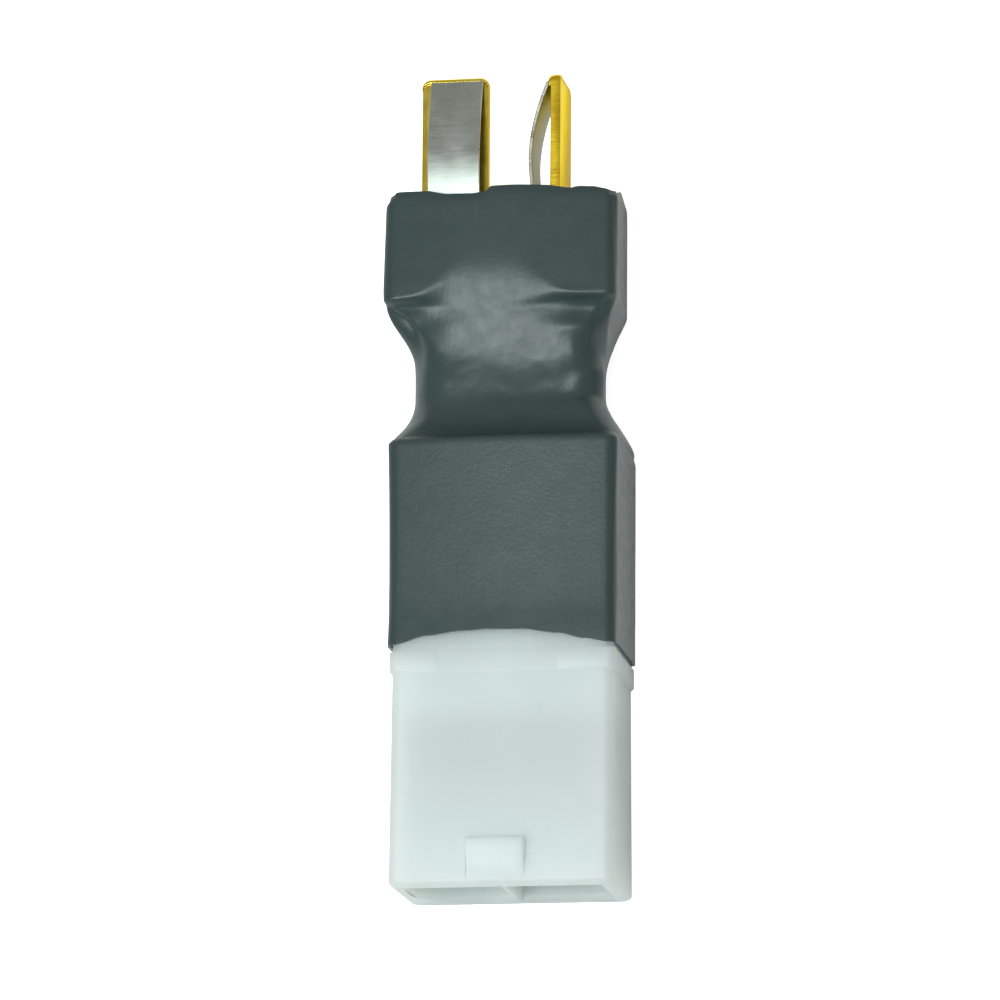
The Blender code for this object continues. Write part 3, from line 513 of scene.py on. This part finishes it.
# the plug's bulge starts just before the crease, and earlier and far more slowly in the middle (middle, half width)
PLUG_BULGE_LEAD, PLUG_BULGE_FADE = 0.30, 0.5
SLOW_MIDDLE, SLOW_LEAD, SLOW_FADE = (-0.9, 3.2), 1.0, 6.5
# the bridge over the waist, with (start, length) of its rise and its fall, and the place where it starts across
BRIDGE, BRIDGE_RISE, BRIDGE_FALL = 0.62, (33.7, 2.4), (38.5, 6.0)
BRIDGE_START, BRIDGE_WIDTH, BRIDGE_MOST = -6.5, 12, 1.1
# how far, and over what length, each front rises towards the waist, and the hem flares
BLOCK_LIFT, PLUG_LIFT, HEM_FLARE = (0.30, 15.6), (0.25, 8.3), (0.14, 2.2)
# waves in the shrunk surface: how much of them tight places keep, and (height, scale) of the broad and the fine ones
WAVES_KEPT = 0.25
BROAD_WAVES, FINE_WAVES, FINE_WAVES_SHIFT = (0.05, 0.45), (0.018, 1.3), Vector((7, 1, 4))


def box_section(middle, half):
    """Left, right, back at left, back at right, front at left, front at right, corner radius."""
    half_width, half_depth = half
    back, front = middle.z - half_depth, middle.z + half_depth
    return middle.x - half_width, middle.x + half_width, back, back, front, front, SLEEVE_CORNER


def waist_section():
    """The sleeve drawn tight round the two small tubes, which lie side by side at unlike heights."""
    left, low, high = span("left_joint_sleeve")
    right, _, _ = span("right_joint_sleeve")
    r = ((high - low) / 2).z + SLEEVE_GROWTH
    return left.x - r, right.x + r, left.z - r, right.z - r, left.z + r, right.z + r, r


BLOCK_SECTION = box_section(Vector((HOUSING.x, 0.0, HOUSING_MIDDLE_Z)), BLOCK_SECTION_HALF)
PLUG_SECTION = box_section(PLUG, PLUG_SECTION_HALF)
WAIST_SECTION = waist_section()


def sleeve_section(distance):
    """The section at a place along. It falls in past the shoulder, and rises again to the plug, at a rate of its
    own for the left, for the front and for the rest."""
    if distance < SHOULDER + WAIST_FALL:
        near, t = BLOCK_SECTION, clamp((distance - SHOULDER) / WAIST_FALL)
        left, rest = 1 - (1 - t) ** 2, smooth(t)
        front_at_left, front_at_right = left, left
    else:
        before = PLUG_START - distance
        near, t = PLUG_SECTION, clamp(before / WAIST_RISE)
        left, rest = smooth(before / WAIST_LEFT_RISE), 1 - (1 - t) ** 1.4
        front_at_left, front_at_right = [smooth(before / rise) for rise in WAIST_FRONT_RISE]
    shares = (left, rest, rest, rest, front_at_left, front_at_right, (left + rest) / 2)
    return [mix(a, b, share) for a, b, share in zip(near, WAIST_SECTION, shares)]


def waist_share(distance):
    """1 in the narrowest part of the waist, and 0 where the sleeve lies on the housing or the plug."""
    return smooth((distance - SHOULDER) / WAIST_FALL) - smooth(1 - (PLUG_START - distance) / WAIST_RISE)


def right_share(x):
    """0 left of the middle and 1 at the right edge, for a place across."""
    return smooth((x / MM + 1) / 9)


def arc(center, radius, start):
    """A quarter of a circle in points, from an angle in degrees, without its last point."""
    angles = [math.radians(start + 90 * i / CORNER_STEPS) for i in range(CORNER_STEPS)]
    return [(center[0] + radius * math.cos(t), center[1] + radius * math.sin(t)) for t in angles]


def long_face(start, end, way, half, dip):
    """Points across the front, where way is 1, or the back, where it is -1. The face dips in its middle."""
    shares = [i / LONG_STEPS for i in range(LONG_STEPS)]
    return [(mix(start, end, t), way * (half - dip * math.sin(math.pi * t) ** 2)) for t in shares]


def short_face(x, start, end):
    return [(x, mix(start, end, i / SHORT_STEPS)) for i in range(SHORT_STEPS)]


def sleeve_ring(distance, inset):
    """One ring round the sleeve in (x, z), from the front right corner over the front to the left and round."""
    low, high, back_left, back_right, front_left, front_right, radius = sleeve_section(distance)
    low, high = low + inset, high - inset
    half = (front_left + front_right - back_left - back_right) / 4 - inset
    radius = min(radius, half)
    left, right, flat = low + radius, high - radius, half - radius
    dip = WAIST_DIP * waist_share(distance)
    plan = [
        *long_face(right, left, 1, half, WAIST_FRONT_DIP_SHARE * dip),
        *arc((left, flat), radius, 90),
        *short_face(low, flat, -flat),
        *arc((left, -flat), radius, 180),
        *long_face(left, right, -1, half, dip),
        *arc((right, -flat), radius, 270),
        *short_face(high, -flat, flat),
        *arc((right, flat), radius, 0),
    ]
    ring = []
    lean = PLUG_LEAN * smooth((distance - PLUG_START + PLUG_LEAN_REACH) / PLUG_LEAN_REACH)
    for x, v in plan:
        t = clamp((x - left) / (right - left))
        middle = mix(front_left + back_left, front_right + back_right, t) / 2
        ring.append((x + lean * t * smooth(0.5 + v / half / 2), middle + v))
    return ring


def stations():
    """Places along the sleeve, close together at its hem, shoulder, crease and rim."""
    stops = [  # place, and steps from there to the next
        (HEM, 4), (HEM + 0.3 * MM, 8), (HEM + 3 * MM, 18), (SHOULDER - 0.8 * MM, 18), (SHOULDER + 0.8 * MM, 46),
        (PLUG_START - 2.4 * MM, 38), (PLUG_START + 1.4 * MM, 14), (RIM - 1.6 * MM, 6), (RIM - 0.5 * MM, 8), (RIM, 0),
    ]
    return [mix(a, b, i / n) for (a, n), (b, _) in zip(stops, stops[1:]) for i in range(n)] + [RIM]


def cut_rings(places):
    """A grid of points on the sleeve's plain form, with its cut ends, its sharp shoulder and its climbing crease."""
    grid = np.zeros((len(places), RING_STEPS, 3))
    for row, s in enumerate(places):
        curl = RIM_CURL * smooth((s - (RIM - RIM_CURL_REACH)) / RIM_CURL_REACH) ** 1.5
        shoulder = SHOULDER_CUT * (1 - clamp(abs(s - SHOULDER) / SHOULDER_CUT_REACH)) ** 2
        hem_share = 1 - smooth((s - HEM) / HEM_REACH)
        rim_share = smooth((s - (RIM - RIM_REACH)) / RIM_REACH)
        climb = CREASE_CLIMB * smooth(1 - abs(s - PLUG_START) / CREASE_CLIMB_REACH)
        ring = sleeve_ring(s, curl + shoulder)
        heights = [z for _, z in ring]
        middle = (min(heights) + max(heights)) / 2
        half = max(heights) - middle
        for i, (x, z) in enumerate(ring):
            face = clamp((abs(z - middle) / half - 0.55) / 0.4)
            front = clamp((z - middle) / half * 1.6)
            depth = (half + middle - z) / (2 * half)
            rise = through(FRONT_HEM, x / MM) * MM * hem_share * face
            rise += through(FRONT_RIM, x / MM) * MM * rim_share * front
            # the cut is oblique: longer down the right side than on the front
            longer = smooth((depth - 0.05) / 0.65) * (1 - 0.32 * smooth((depth - 0.7) / 0.3))
            rise += RIM_OBLIQUE * rim_share * longer * right_share(x)
            rise += climb * front * right_share(x)
            uneven = noise.noise(Vector((x * RAGGED_SCALE, z * RAGGED_SCALE, 3.0)))
            ragged = RAGGED * uneven * (hem_share**3 + rim_share)
            grid[row, i] = (x, along(s + rise + ragged), z)
    return grid


def ease_turns(grid, places):
    """Eases the sharp turns at the shoulder and the crease."""
    step = np.diff(places)[:, None, None]
    for _ in range(EASING_ROUNDS):
        slope = np.diff(grid, axis=0) / step
        bend = 2 * np.diff(slope, axis=0) / (step[1:] + step[:-1])
        eased = 0.25 * np.minimum(step[1:], step[:-1]) ** 2 * bend
        grid[1:-1, :, ::2] += eased[:, :, ::2]


def outward_normals(grid):
    around = np.roll(grid, -1, axis=1) - np.roll(grid, 1, axis=1)
    normal = np.cross(around, np.gradient(grid, axis=0))
    normal /= np.linalg.norm(normal, axis=2, keepdims=True) + 1e-12
    outward = grid - grid.mean(axis=1, keepdims=True)
    return normal if (normal * outward).sum() > 0 else -normal


def spot(x, a, at, size, skew):
    """A soft round spot of 1 at a place (across, along) in mm. skew shortens its side towards the rim."""
    dx = (x - at[0]) / size[0]
    da = (a - at[1]) / size[1]
    da = np.where(da > 0, da * skew, da)
    return np.exp(-(dx**2) - da**2)


def share_past(a, start, length):
    """0 before a start, and 1 a length past it."""
    return np.clip((a - start) / length, 0, 1)


def sleeve_relief(x, a, facing):
    """How far the shrunk surface lies out of its plain form, in mm, where it faces the front.

    x and a are places across and along in mm, and facing is how far the surface looks forward, from -1 to 1."""
    front = share_past(facing, 0.15, 0.45)
    marks = sum(height * spot(x, a, at, size, skew) for height, at, size, skew in MARKS.values())
    # both flat fronts bulge a little across, as a shrunk tube does
    block = np.clip((BLOCK_BULGE_END - a) / BLOCK_BULGE_FADE, 0, 1)
    middle = np.exp(-(((x - SLOW_MIDDLE[0]) / SLOW_MIDDLE[1]) ** 2))
    start, fade = PLUG_BULGE_LEAD + SLOW_LEAD * middle, PLUG_BULGE_FADE + SLOW_FADE * middle
    plug = np.clip((a - CREASE + start) / fade, 0, 1)
    plug = ease(plug + middle * (plug - plug**2))
    bulges = [BULGE * (1 - ((x - at) / half) ** 2) for at, half in (BLOCK_BULGE, PLUG_BULGE)]
    crown = block * bulges[0] + plug * bulges[1]
    # between them the tube spans from one joint to the other, higher at the right than they are
    waist = ease(share_past(a, *BRIDGE_RISE)) * (1 - ease(share_past(a, *BRIDGE_FALL)))
    bridge = BRIDGE * waist * np.clip((x - BRIDGE_START) / BRIDGE_WIDTH, 0, BRIDGE_MOST)
    # both rise a little towards the waist
    lift = BLOCK_LIFT[0] * block * share_past(a, HEM / MM, BLOCK_LIFT[1]) ** 2
    lift += PLUG_LIFT[0] * plug * np.clip((RIM / MM - a) / PLUG_LIFT[1], 0, 1)
    # and the hem flares where it runs up against the flange
    flare = HEM_FLARE[0] * np.exp(-(((a - HEM / MM) / HEM_FLARE[1]) ** 2))
    return front * (marks + crown + bridge + lift + flare)


def shrink_waves(grid, places):
    """Low, irregular waves in mm, stronger in the waist than where the tube is tight on a form."""
    waves = np.zeros(grid.shape[:2])
    for row, place in enumerate(places):
        share = WAVES_KEPT + (1 - WAVES_KEPT) * smooth(waist_share(place) * 2)
        for i in range(RING_STEPS):
            p = Vector(grid[row, i]) * 1000
            broad = BROAD_WAVES[0] * noise.noise(p * BROAD_WAVES[1])
            fine = FINE_WAVES[0] * noise.noise(p * FINE_WAVES[1] + FINE_WAVES_SHIFT)
            waves[row, i] = share * (broad + fine)
    return waves


def tube_mesh(grid):
    """A mesh of a grid of rings, which looks outward."""
    faces = []
    for row in range(len(grid) - 1):
        for i in range(RING_STEPS):
            j = (i + 1) % RING_STEPS
            near, far = row * RING_STEPS, (row + 1) * RING_STEPS
            faces.append((near + i, near + j, far + j, far + i))
    mesh = bpy.data.meshes.new("sleeve")
    mesh.from_pydata(grid.reshape(-1, 3).tolist(), [], faces)
    bm = bmesh.new()
    bm.from_mesh(mesh)
    bm.normal_update()
    centers = [(f, f.calc_center_median()) for f in bm.faces]
    outward = sum(f.normal.dot(c - Vector((0, c.y, HOUSING_MIDDLE_Z))) for f, c in centers)
    if outward < 0:
        bmesh.ops.reverse_faces(bm, faces=bm.faces)
    bm.to_mesh(mesh)
    bm.free()
    return mesh


def sleeve_mesh():
    places = stations()
    grid = cut_rings(places)
    ease_turns(grid, places)
    normal = outward_normals(grid)
    relief = sleeve_relief(grid[:, :, 0] / MM, (grid[:, :, 1] - MOUTH) / MM, normal[:, :, 2])
    grid += normal * ((relief + shrink_waves(grid, places)) * MM)[:, :, None]
    # the back lies on the table
    grid[:, :, 2] = np.maximum(grid[:, :, 2], 0.0)
    return tube_mesh(grid)


def make_sleeve():
    obj = new_object("shrink_sleeve", sleeve_mesh(), [SLEEVE])
    wall = obj.modifiers.new("wall", "SOLIDIFY")
    wall.thickness = SLEEVE_WALL
    wall.offset = -1.0
    wall.use_rim = True
    settled(obj)
    shade(obj, 50)
    stands_for(obj, "outer_sleeve")


# ---------------------------------------------------------------- leaf springs


def blade_frame(side):
    """Turns (across the blade, along the adapter, out of the leaf's face) into the adapter's own axes."""
    middle, _, high = span(f"{SIDE_NAMES[side]}_blade")
    across, out = ((1, 0, 0), (0, 0, 1)) if side == LEFT else ((0, 0, 1), (-1, 0, 0))
    x = middle.x if side == LEFT else high.x - BLADE_THICKNESS / 2
    matrix = Matrix.Identity(4)
    for column, value in enumerate((across, (0, 1, 0), out, (x, MOUTH, PLUG.z))):
        matrix.col[column].xyz = value
    return matrix


def leaf_points(side, count=72):
    """The leaf's middle line, in (across the blade, along, out of its face), with its bends eased."""
    seat = LEAF_FIT + LEAF_THICKNESS / 2
    blade_tip = span(f"{SIDE_NAMES[side]}_blade")[2].y - MOUTH
    start, end = PLUG_END - LEAF_ROOT_DEPTH, blade_tip - LIP_OVER_LEAF - LEAF_FIT
    crown = PLUG_END + LEAF_CROWN_PLACE
    shift = LEFT_LEAF_SHIFT if side == LEFT else 0.0
    points = []
    for i in range(count + 1):
        place = mix(start, end, i / count)
        if place >= crown:
            lift = mix(LEAF_CROWN, LEAF_TIP_LIFT, ((place - crown) / (end - crown)) ** LEAF_TIP_CURVE)
        else:
            bow = LEAF_CROWN - LEAF_FOOT_DROP * ((crown - place) / LEAF_CROWN_PLACE) ** LEAF_FOOT_CURVE
            lift = mix(bow, seat, smooth((PLUG_END - place) / LEAF_BEND_DEPTH))
        points.append(Vector((shift, place, BLADE_THICKNESS / 2 + lift)))
    for _ in range(6):
        inner = [(a + 2 * b + c) / 4 for a, b, c in zip(points, points[1:], points[2:])]
        points = [points[0], *inner, points[-1]]
    return points


def leaf_tree():
    """A flat strip with burnished edges swept along a path. Its blanked edges get their own material."""
    tree, given, result = node_group(
        "bowed_strip",
        {"Width": "Float", "Thickness": "Float", "Edge Radius": "Float", "Face": "Material", "Edge": "Material"},
    )
    path = add(tree, "GeometryNodeMeshToCurve", {"Mesh": given["Geometry"]})
    upright = add(tree, "GeometryNodeSetCurveNormal", {"Curve": path.outputs[0]}, mode="Z_UP")
    strip = add(
        tree,
        "GeometryNodeCurvePrimitiveQuadrilateral",
        {"Width": given["Width"], "Height": given["Thickness"]},
    )
    burnished = add(
        tree,
        "GeometryNodeFilletCurve",
        {"Curve": strip.outputs[0], "Count": 3, "Radius": given["Edge Radius"]},
        mode="POLY",
    )
    swept = add(
        tree,
        "GeometryNodeCurveToMesh",
        {"Curve": upright.outputs[0], "Profile Curve": burnished.outputs[0], "Fill Caps": True},
    )
    normal = add(tree, "ShaderNodeSeparateXYZ", {0: add(tree, "GeometryNodeInputNormal").outputs[0]})
    side_on = calculated(tree, "ABSOLUTE", normal.outputs[0])
    is_edge = add(tree, "FunctionNodeCompare", {0: side_on, 1: 0.7}, data_type="FLOAT")
    real = add(tree, "GeometryNodeRealizeInstances", {0: swept.outputs[0]})
    faces = add(tree, "GeometryNodeSetMaterial", {"Geometry": real.outputs[0], "Material": given["Face"]})
    edges = add(
        tree,
        "GeometryNodeSetMaterial",
        {"Geometry": faces.outputs[0], "Selection": is_edge.outputs[0], "Material": given["Edge"]},
    )
    tree.links.new(edges.outputs[0], result.inputs[0])
    return tree


def make_leaf(side, tree):
    word = SIDE_NAMES[side]
    values = {
        "Width": LEAF_WIDTH,
        "Thickness": LEAF_THICKNESS,
        "Edge Radius": LEAF_EDGE_RADIUS,
        "Face": SILVER,
        "Edge": SILVER_EDGE,
    }
    obj = grown(f"{word}_bowed_leaf", leaf_points(side), tree, values)
    obj.data.transform(blade_frame(side))
    bm = bmesh.new()
    bm.from_mesh(obj.data)
    bmesh.ops.remove_doubles(bm, verts=bm.verts, dist=1e-7)
    bmesh.ops.recalc_face_normals(bm, faces=bm.faces)
    bm.to_mesh(obj.data)
    bm.free()
    soften(obj, 60)
    stands_for(obj, f"{word}_leaf_spring")
    seat = blade_frame(side) @ Vector((0.0, PLUG_END, BLADE_THICKNESS / 2))
    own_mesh(obj)


# ---------------------------------------------------------------- wires


def conductor_tree():
    """Fine strands in two rings round a middle one, twisted along a path."""
    tree, given, result = node_group(
        "twisted_strands",
        {"Strand Radius": "Float", "Ring Radius": "Float", "Twist": "Float", "Finish": "Material"},
    )
    path = add(tree, "GeometryNodeMeshToCurve", {"Mesh": given["Geometry"]})
    place = add(tree, "GeometryNodeSplineParameter")
    turn = calculated(tree, "MULTIPLY", place.outputs["Length"], given["Twist"])
    twisted = add(tree, "GeometryNodeSetCurveTilt", {"Curve": path.outputs[0], "Tilt": turn})
    strand = add(tree, "GeometryNodeCurvePrimitiveCircle", {"Resolution": 8, "Radius": given["Strand Radius"]})
    double = calculated(tree, "MULTIPLY", given["Ring Radius"], 2.0)
    inner = add(tree, "GeometryNodeMeshCircle", {"Vertices": 6, "Radius": given["Ring Radius"]})
    outer = add(tree, "GeometryNodeMeshCircle", {"Vertices": 12, "Radius": double})
    middle = add(tree, "GeometryNodeMeshLine", {"Count": 1})
    spots = add(tree, "GeometryNodeJoinGeometry")
    for ring in (inner, outer, middle):
        tree.links.new(ring.outputs[0], spots.inputs[0])
    bundle = add(
        tree, "GeometryNodeInstanceOnPoints", {"Points": spots.outputs[0], "Instance": strand.outputs[0]}
    )
    loose = add(tree, "GeometryNodeRealizeInstances", {0: bundle.outputs[0]})
    swept = add(
        tree,
        "GeometryNodeCurveToMesh",
        {"Curve": twisted.outputs[0], "Profile Curve": loose.outputs[0], "Fill Caps": True},
    )
    real = add(tree, "GeometryNodeRealizeInstances", {0: swept.outputs[0]})
    done = add(tree, "GeometryNodeSetMaterial", {"Geometry": real.outputs[0], "Material": given["Finish"]})
    tree.links.new(done.outputs[0], result.inputs[0])
    return tree


def wire_path(side, count=40):
    """The conductor's route: straight out of its pin, bent over in the waist, and straight onto its tab."""
    word = SIDE_NAMES[side]
    _, low, high = span(f"{word}_wire_conductor")
    pin, _, pin_high = span(f"{word}_pin_contact")
    _, _, jacket_high = span(f"{word}_wire_insulation")
    if side == LEFT:
        end_x, end_z = low.x + CONDUCTOR_RADIUS, high.z - CONDUCTOR_RADIUS
    else:
        end_x, end_z = high.x - CONDUCTOR_RADIUS, low.z + CONDUCTOR_RADIUS
    points = []
    for i in range(count + 1):
        y = mix(low.y, high.y, i / count)
        t = smooth((y - pin_high.y) / (jacket_high.y - pin_high.y))
        points.append((mix(pin.x, end_x, t), y, mix(HOUSING_MIDDLE_Z, end_z, t)))
    return points


def make_conductor(side, tree):
    word = SIDE_NAMES[side]
    values = {
        "Strand Radius": STRAND_RADIUS,
        "Ring Radius": STRAND_RING_RADIUS,
        "Twist": 2 * math.pi / STRAND_PITCH,
        "Finish": COPPER,
    }
    obj = grown(f"{word}_twisted_strands", wire_path(side), tree, values)
    shade(obj, 60)
    stands_for(obj, f"{word}_wire_conductor")


# ---------------------------------------------------------------- the whole adapter


def make_adapter():
    dressed("natural_block_socket", "socket_housing", SOCKET_BEVEL, NYLON)
    dressed("moulded_plug_body", "plug_body", PLUG_BEVEL, BLACK_NYLON)
    jackets = {LEFT: (BLACK_SILICONE, BLACK_TUBE), RIGHT: (RED_SILICONE, RED_TUBE)}
    strip, strands = leaf_tree(), conductor_tree()
    for side, word in SIDE_NAMES.items():
        jacket, tube = jackets[side]
        across = 0 if side == LEFT else 2
        dressed(f"{word}_plated_blade", f"{word}_blade", BLADE_BEVEL, GOLD, GOLD_EDGE, across)
        dressed(f"{word}_rolled_pin", f"{word}_pin_contact", PIN_BEVEL, BRASS)
        dressed(f"{word}_solder_mound", f"{word}_solder_joint", 0.0, SOLDER)
        dressed(f"{word}_wire_jacket", f"{word}_wire_insulation", JACKET_BEVEL, jacket)
        dressed(f"{word}_joint_tube", f"{word}_joint_sleeve", TUBE_BEVEL, tube)
        make_leaf(side, strip)
        make_conductor(side, strands)
    make_sleeve()


# ---------------------------------------------------------------- floor, light and camera

FLOOR_HALF = 0.8
FLOOR_SEEN, FLOOR_MIRRORED = 0.85, 0.25

# How bright the room is at the horizon and overhead, and how much brighter towards the blades' end
ROOM_BRIGHTNESS = (0.14, 0.30)
ROOM_LENGTHWISE = (1.0, 1.5)

LAMP_PLACE, LAMP_AIM = (-0.095, -0.112, 0.415), Vector((0, 0, 0.005))
LAMP_SIZE, LAMP_POWER = (0.125, 0.36), 1.52

# The photograph's view, fitted to readings of it: angles in degrees, and a long lens far off
CAMERA_AZIMUTH, CAMERA_TILT, CAMERA_ROLL = 9.79, 12.44, 0.41
CAMERA_AIM, CAMERA_DISTANCE = Vector((0.0, -0.00015, 0.005)), 0.479
CAMERA_SENSOR, CAMERA_LENS, CAMERA_SHIFT = 36.0, 231.9, (-0.0091, -0.0189)
CAMERA_CLIP = (0.01, 10.0)


def make_floor():
    """A white sweep that the camera sees as plain white, glossy pieces as less bright, and that takes the shadow."""
    mesh = bpy.data.meshes.new("floor")
    corners = [(x * FLOOR_HALF, y * FLOOR_HALF, 0) for x, y in ((-1, -1), (1, -1), (1, 1), (-1, 1))]
    mesh.from_pydata(corners, [], [(0, 1, 2, 3)])
    material, tree, shader, _ = start_material("white_floor", Base_Color=linear("f6f6f5"), Roughness=0.9)
    seen = add(tree, "ShaderNodeLightPath").outputs
    bounced = calculated(tree, "MAXIMUM", seen["Is Glossy Ray"], seen["Is Transmission Ray"])
    mirrored = calculated(tree, "MULTIPLY", bounced, FLOOR_MIRRORED)
    direct = calculated(tree, "MULTIPLY", seen["Is Camera Ray"], FLOOR_SEEN)
    strength = calculated(tree, "MAXIMUM", mirrored, direct)
    tree.links.new(strength, shader.inputs["Emission Strength"])
    shader.inputs["Emission Color"].default_value = (1, 1, 1, 1)
    new_object("floor", mesh, [material])


def make_world():
    """A dim, plain room round the softbox: even overhead and darker towards the horizon."""
    world = bpy.data.worlds.new("soft_tent")
    bpy.context.scene.world = world
    world.use_nodes = True
    tree = world.node_tree
    background = tree.nodes["Background"]
    direction = add(tree, "ShaderNodeTexCoord").outputs["Generated"]
    part = add(tree, "ShaderNodeSeparateXYZ", {0: direction}).outputs
    upward = ranged(tree, part[2], (0.0, 0.5), ROOM_BRIGHTNESS, interpolation_type="SMOOTHSTEP")
    lengthwise = ranged(tree, part[1], (0.2, 0.7), ROOM_LENGTHWISE, interpolation_type="SMOOTHSTEP")
    level = calculated(tree, "MULTIPLY", lengthwise, upward)
    background.inputs["Color"].default_value = linear("fffdf6")
    tree.links.new(level, background.inputs["Strength"])


def make_lamp():
    """One tall softbox above, a little to the left and towards the socket's mouth."""
    light = bpy.data.lights.new("key_softbox", "AREA")
    light.shape = "RECTANGLE"
    light.size, light.size_y = LAMP_SIZE
    light.energy = LAMP_POWER
    light.color = linear("f3fffd")[:3]
    obj = bpy.data.objects.new("key_softbox", light)
    bpy.context.scene.collection.objects.link(obj)
    obj.location = LAMP_PLACE
    obj.rotation_euler = (Vector(LAMP_PLACE) - LAMP_AIM).to_track_quat("Z", "Y").to_euler()


def make_camera():
    """The photograph's view: a little from the right and from below the middle, far off with a long lens."""
    azimuth, tilt, roll = [math.radians(angle) for angle in (CAMERA_AZIMUTH, CAMERA_TILT, CAMERA_ROLL)]
    back = Vector((math.sin(azimuth) * math.cos(tilt), -math.sin(tilt), math.cos(azimuth) * math.cos(tilt)))
    right = Vector((0, 1, 0)).cross(back).normalized()
    up = back.cross(right)
    turned_right = right * math.cos(roll) + up * math.sin(roll)
    turned_up = up * math.cos(roll) - right * math.sin(roll)
    camera = bpy.data.cameras.new("camera")
    camera.sensor_width = CAMERA_SENSOR
    camera.lens = CAMERA_LENS
    camera.shift_x, camera.shift_y = CAMERA_SHIFT
    camera.clip_start, camera.clip_end = CAMERA_CLIP
    obj = bpy.data.objects.new("camera", camera)
    bpy.context.scene.collection.objects.link(obj)
    matrix = Matrix.Identity(4)
    for column, value in enumerate((turned_right, turned_up, back, CAMERA_AIM + back * CAMERA_DISTANCE)):
        matrix.col[column].xyz = value
    obj.matrix_world = matrix
    bpy.context.scene.camera = obj


make_camera()
make_adapter()
make_floor()
make_world()
make_lamp()
bpy.context.scene.view_settings.view_transform = "Standard"
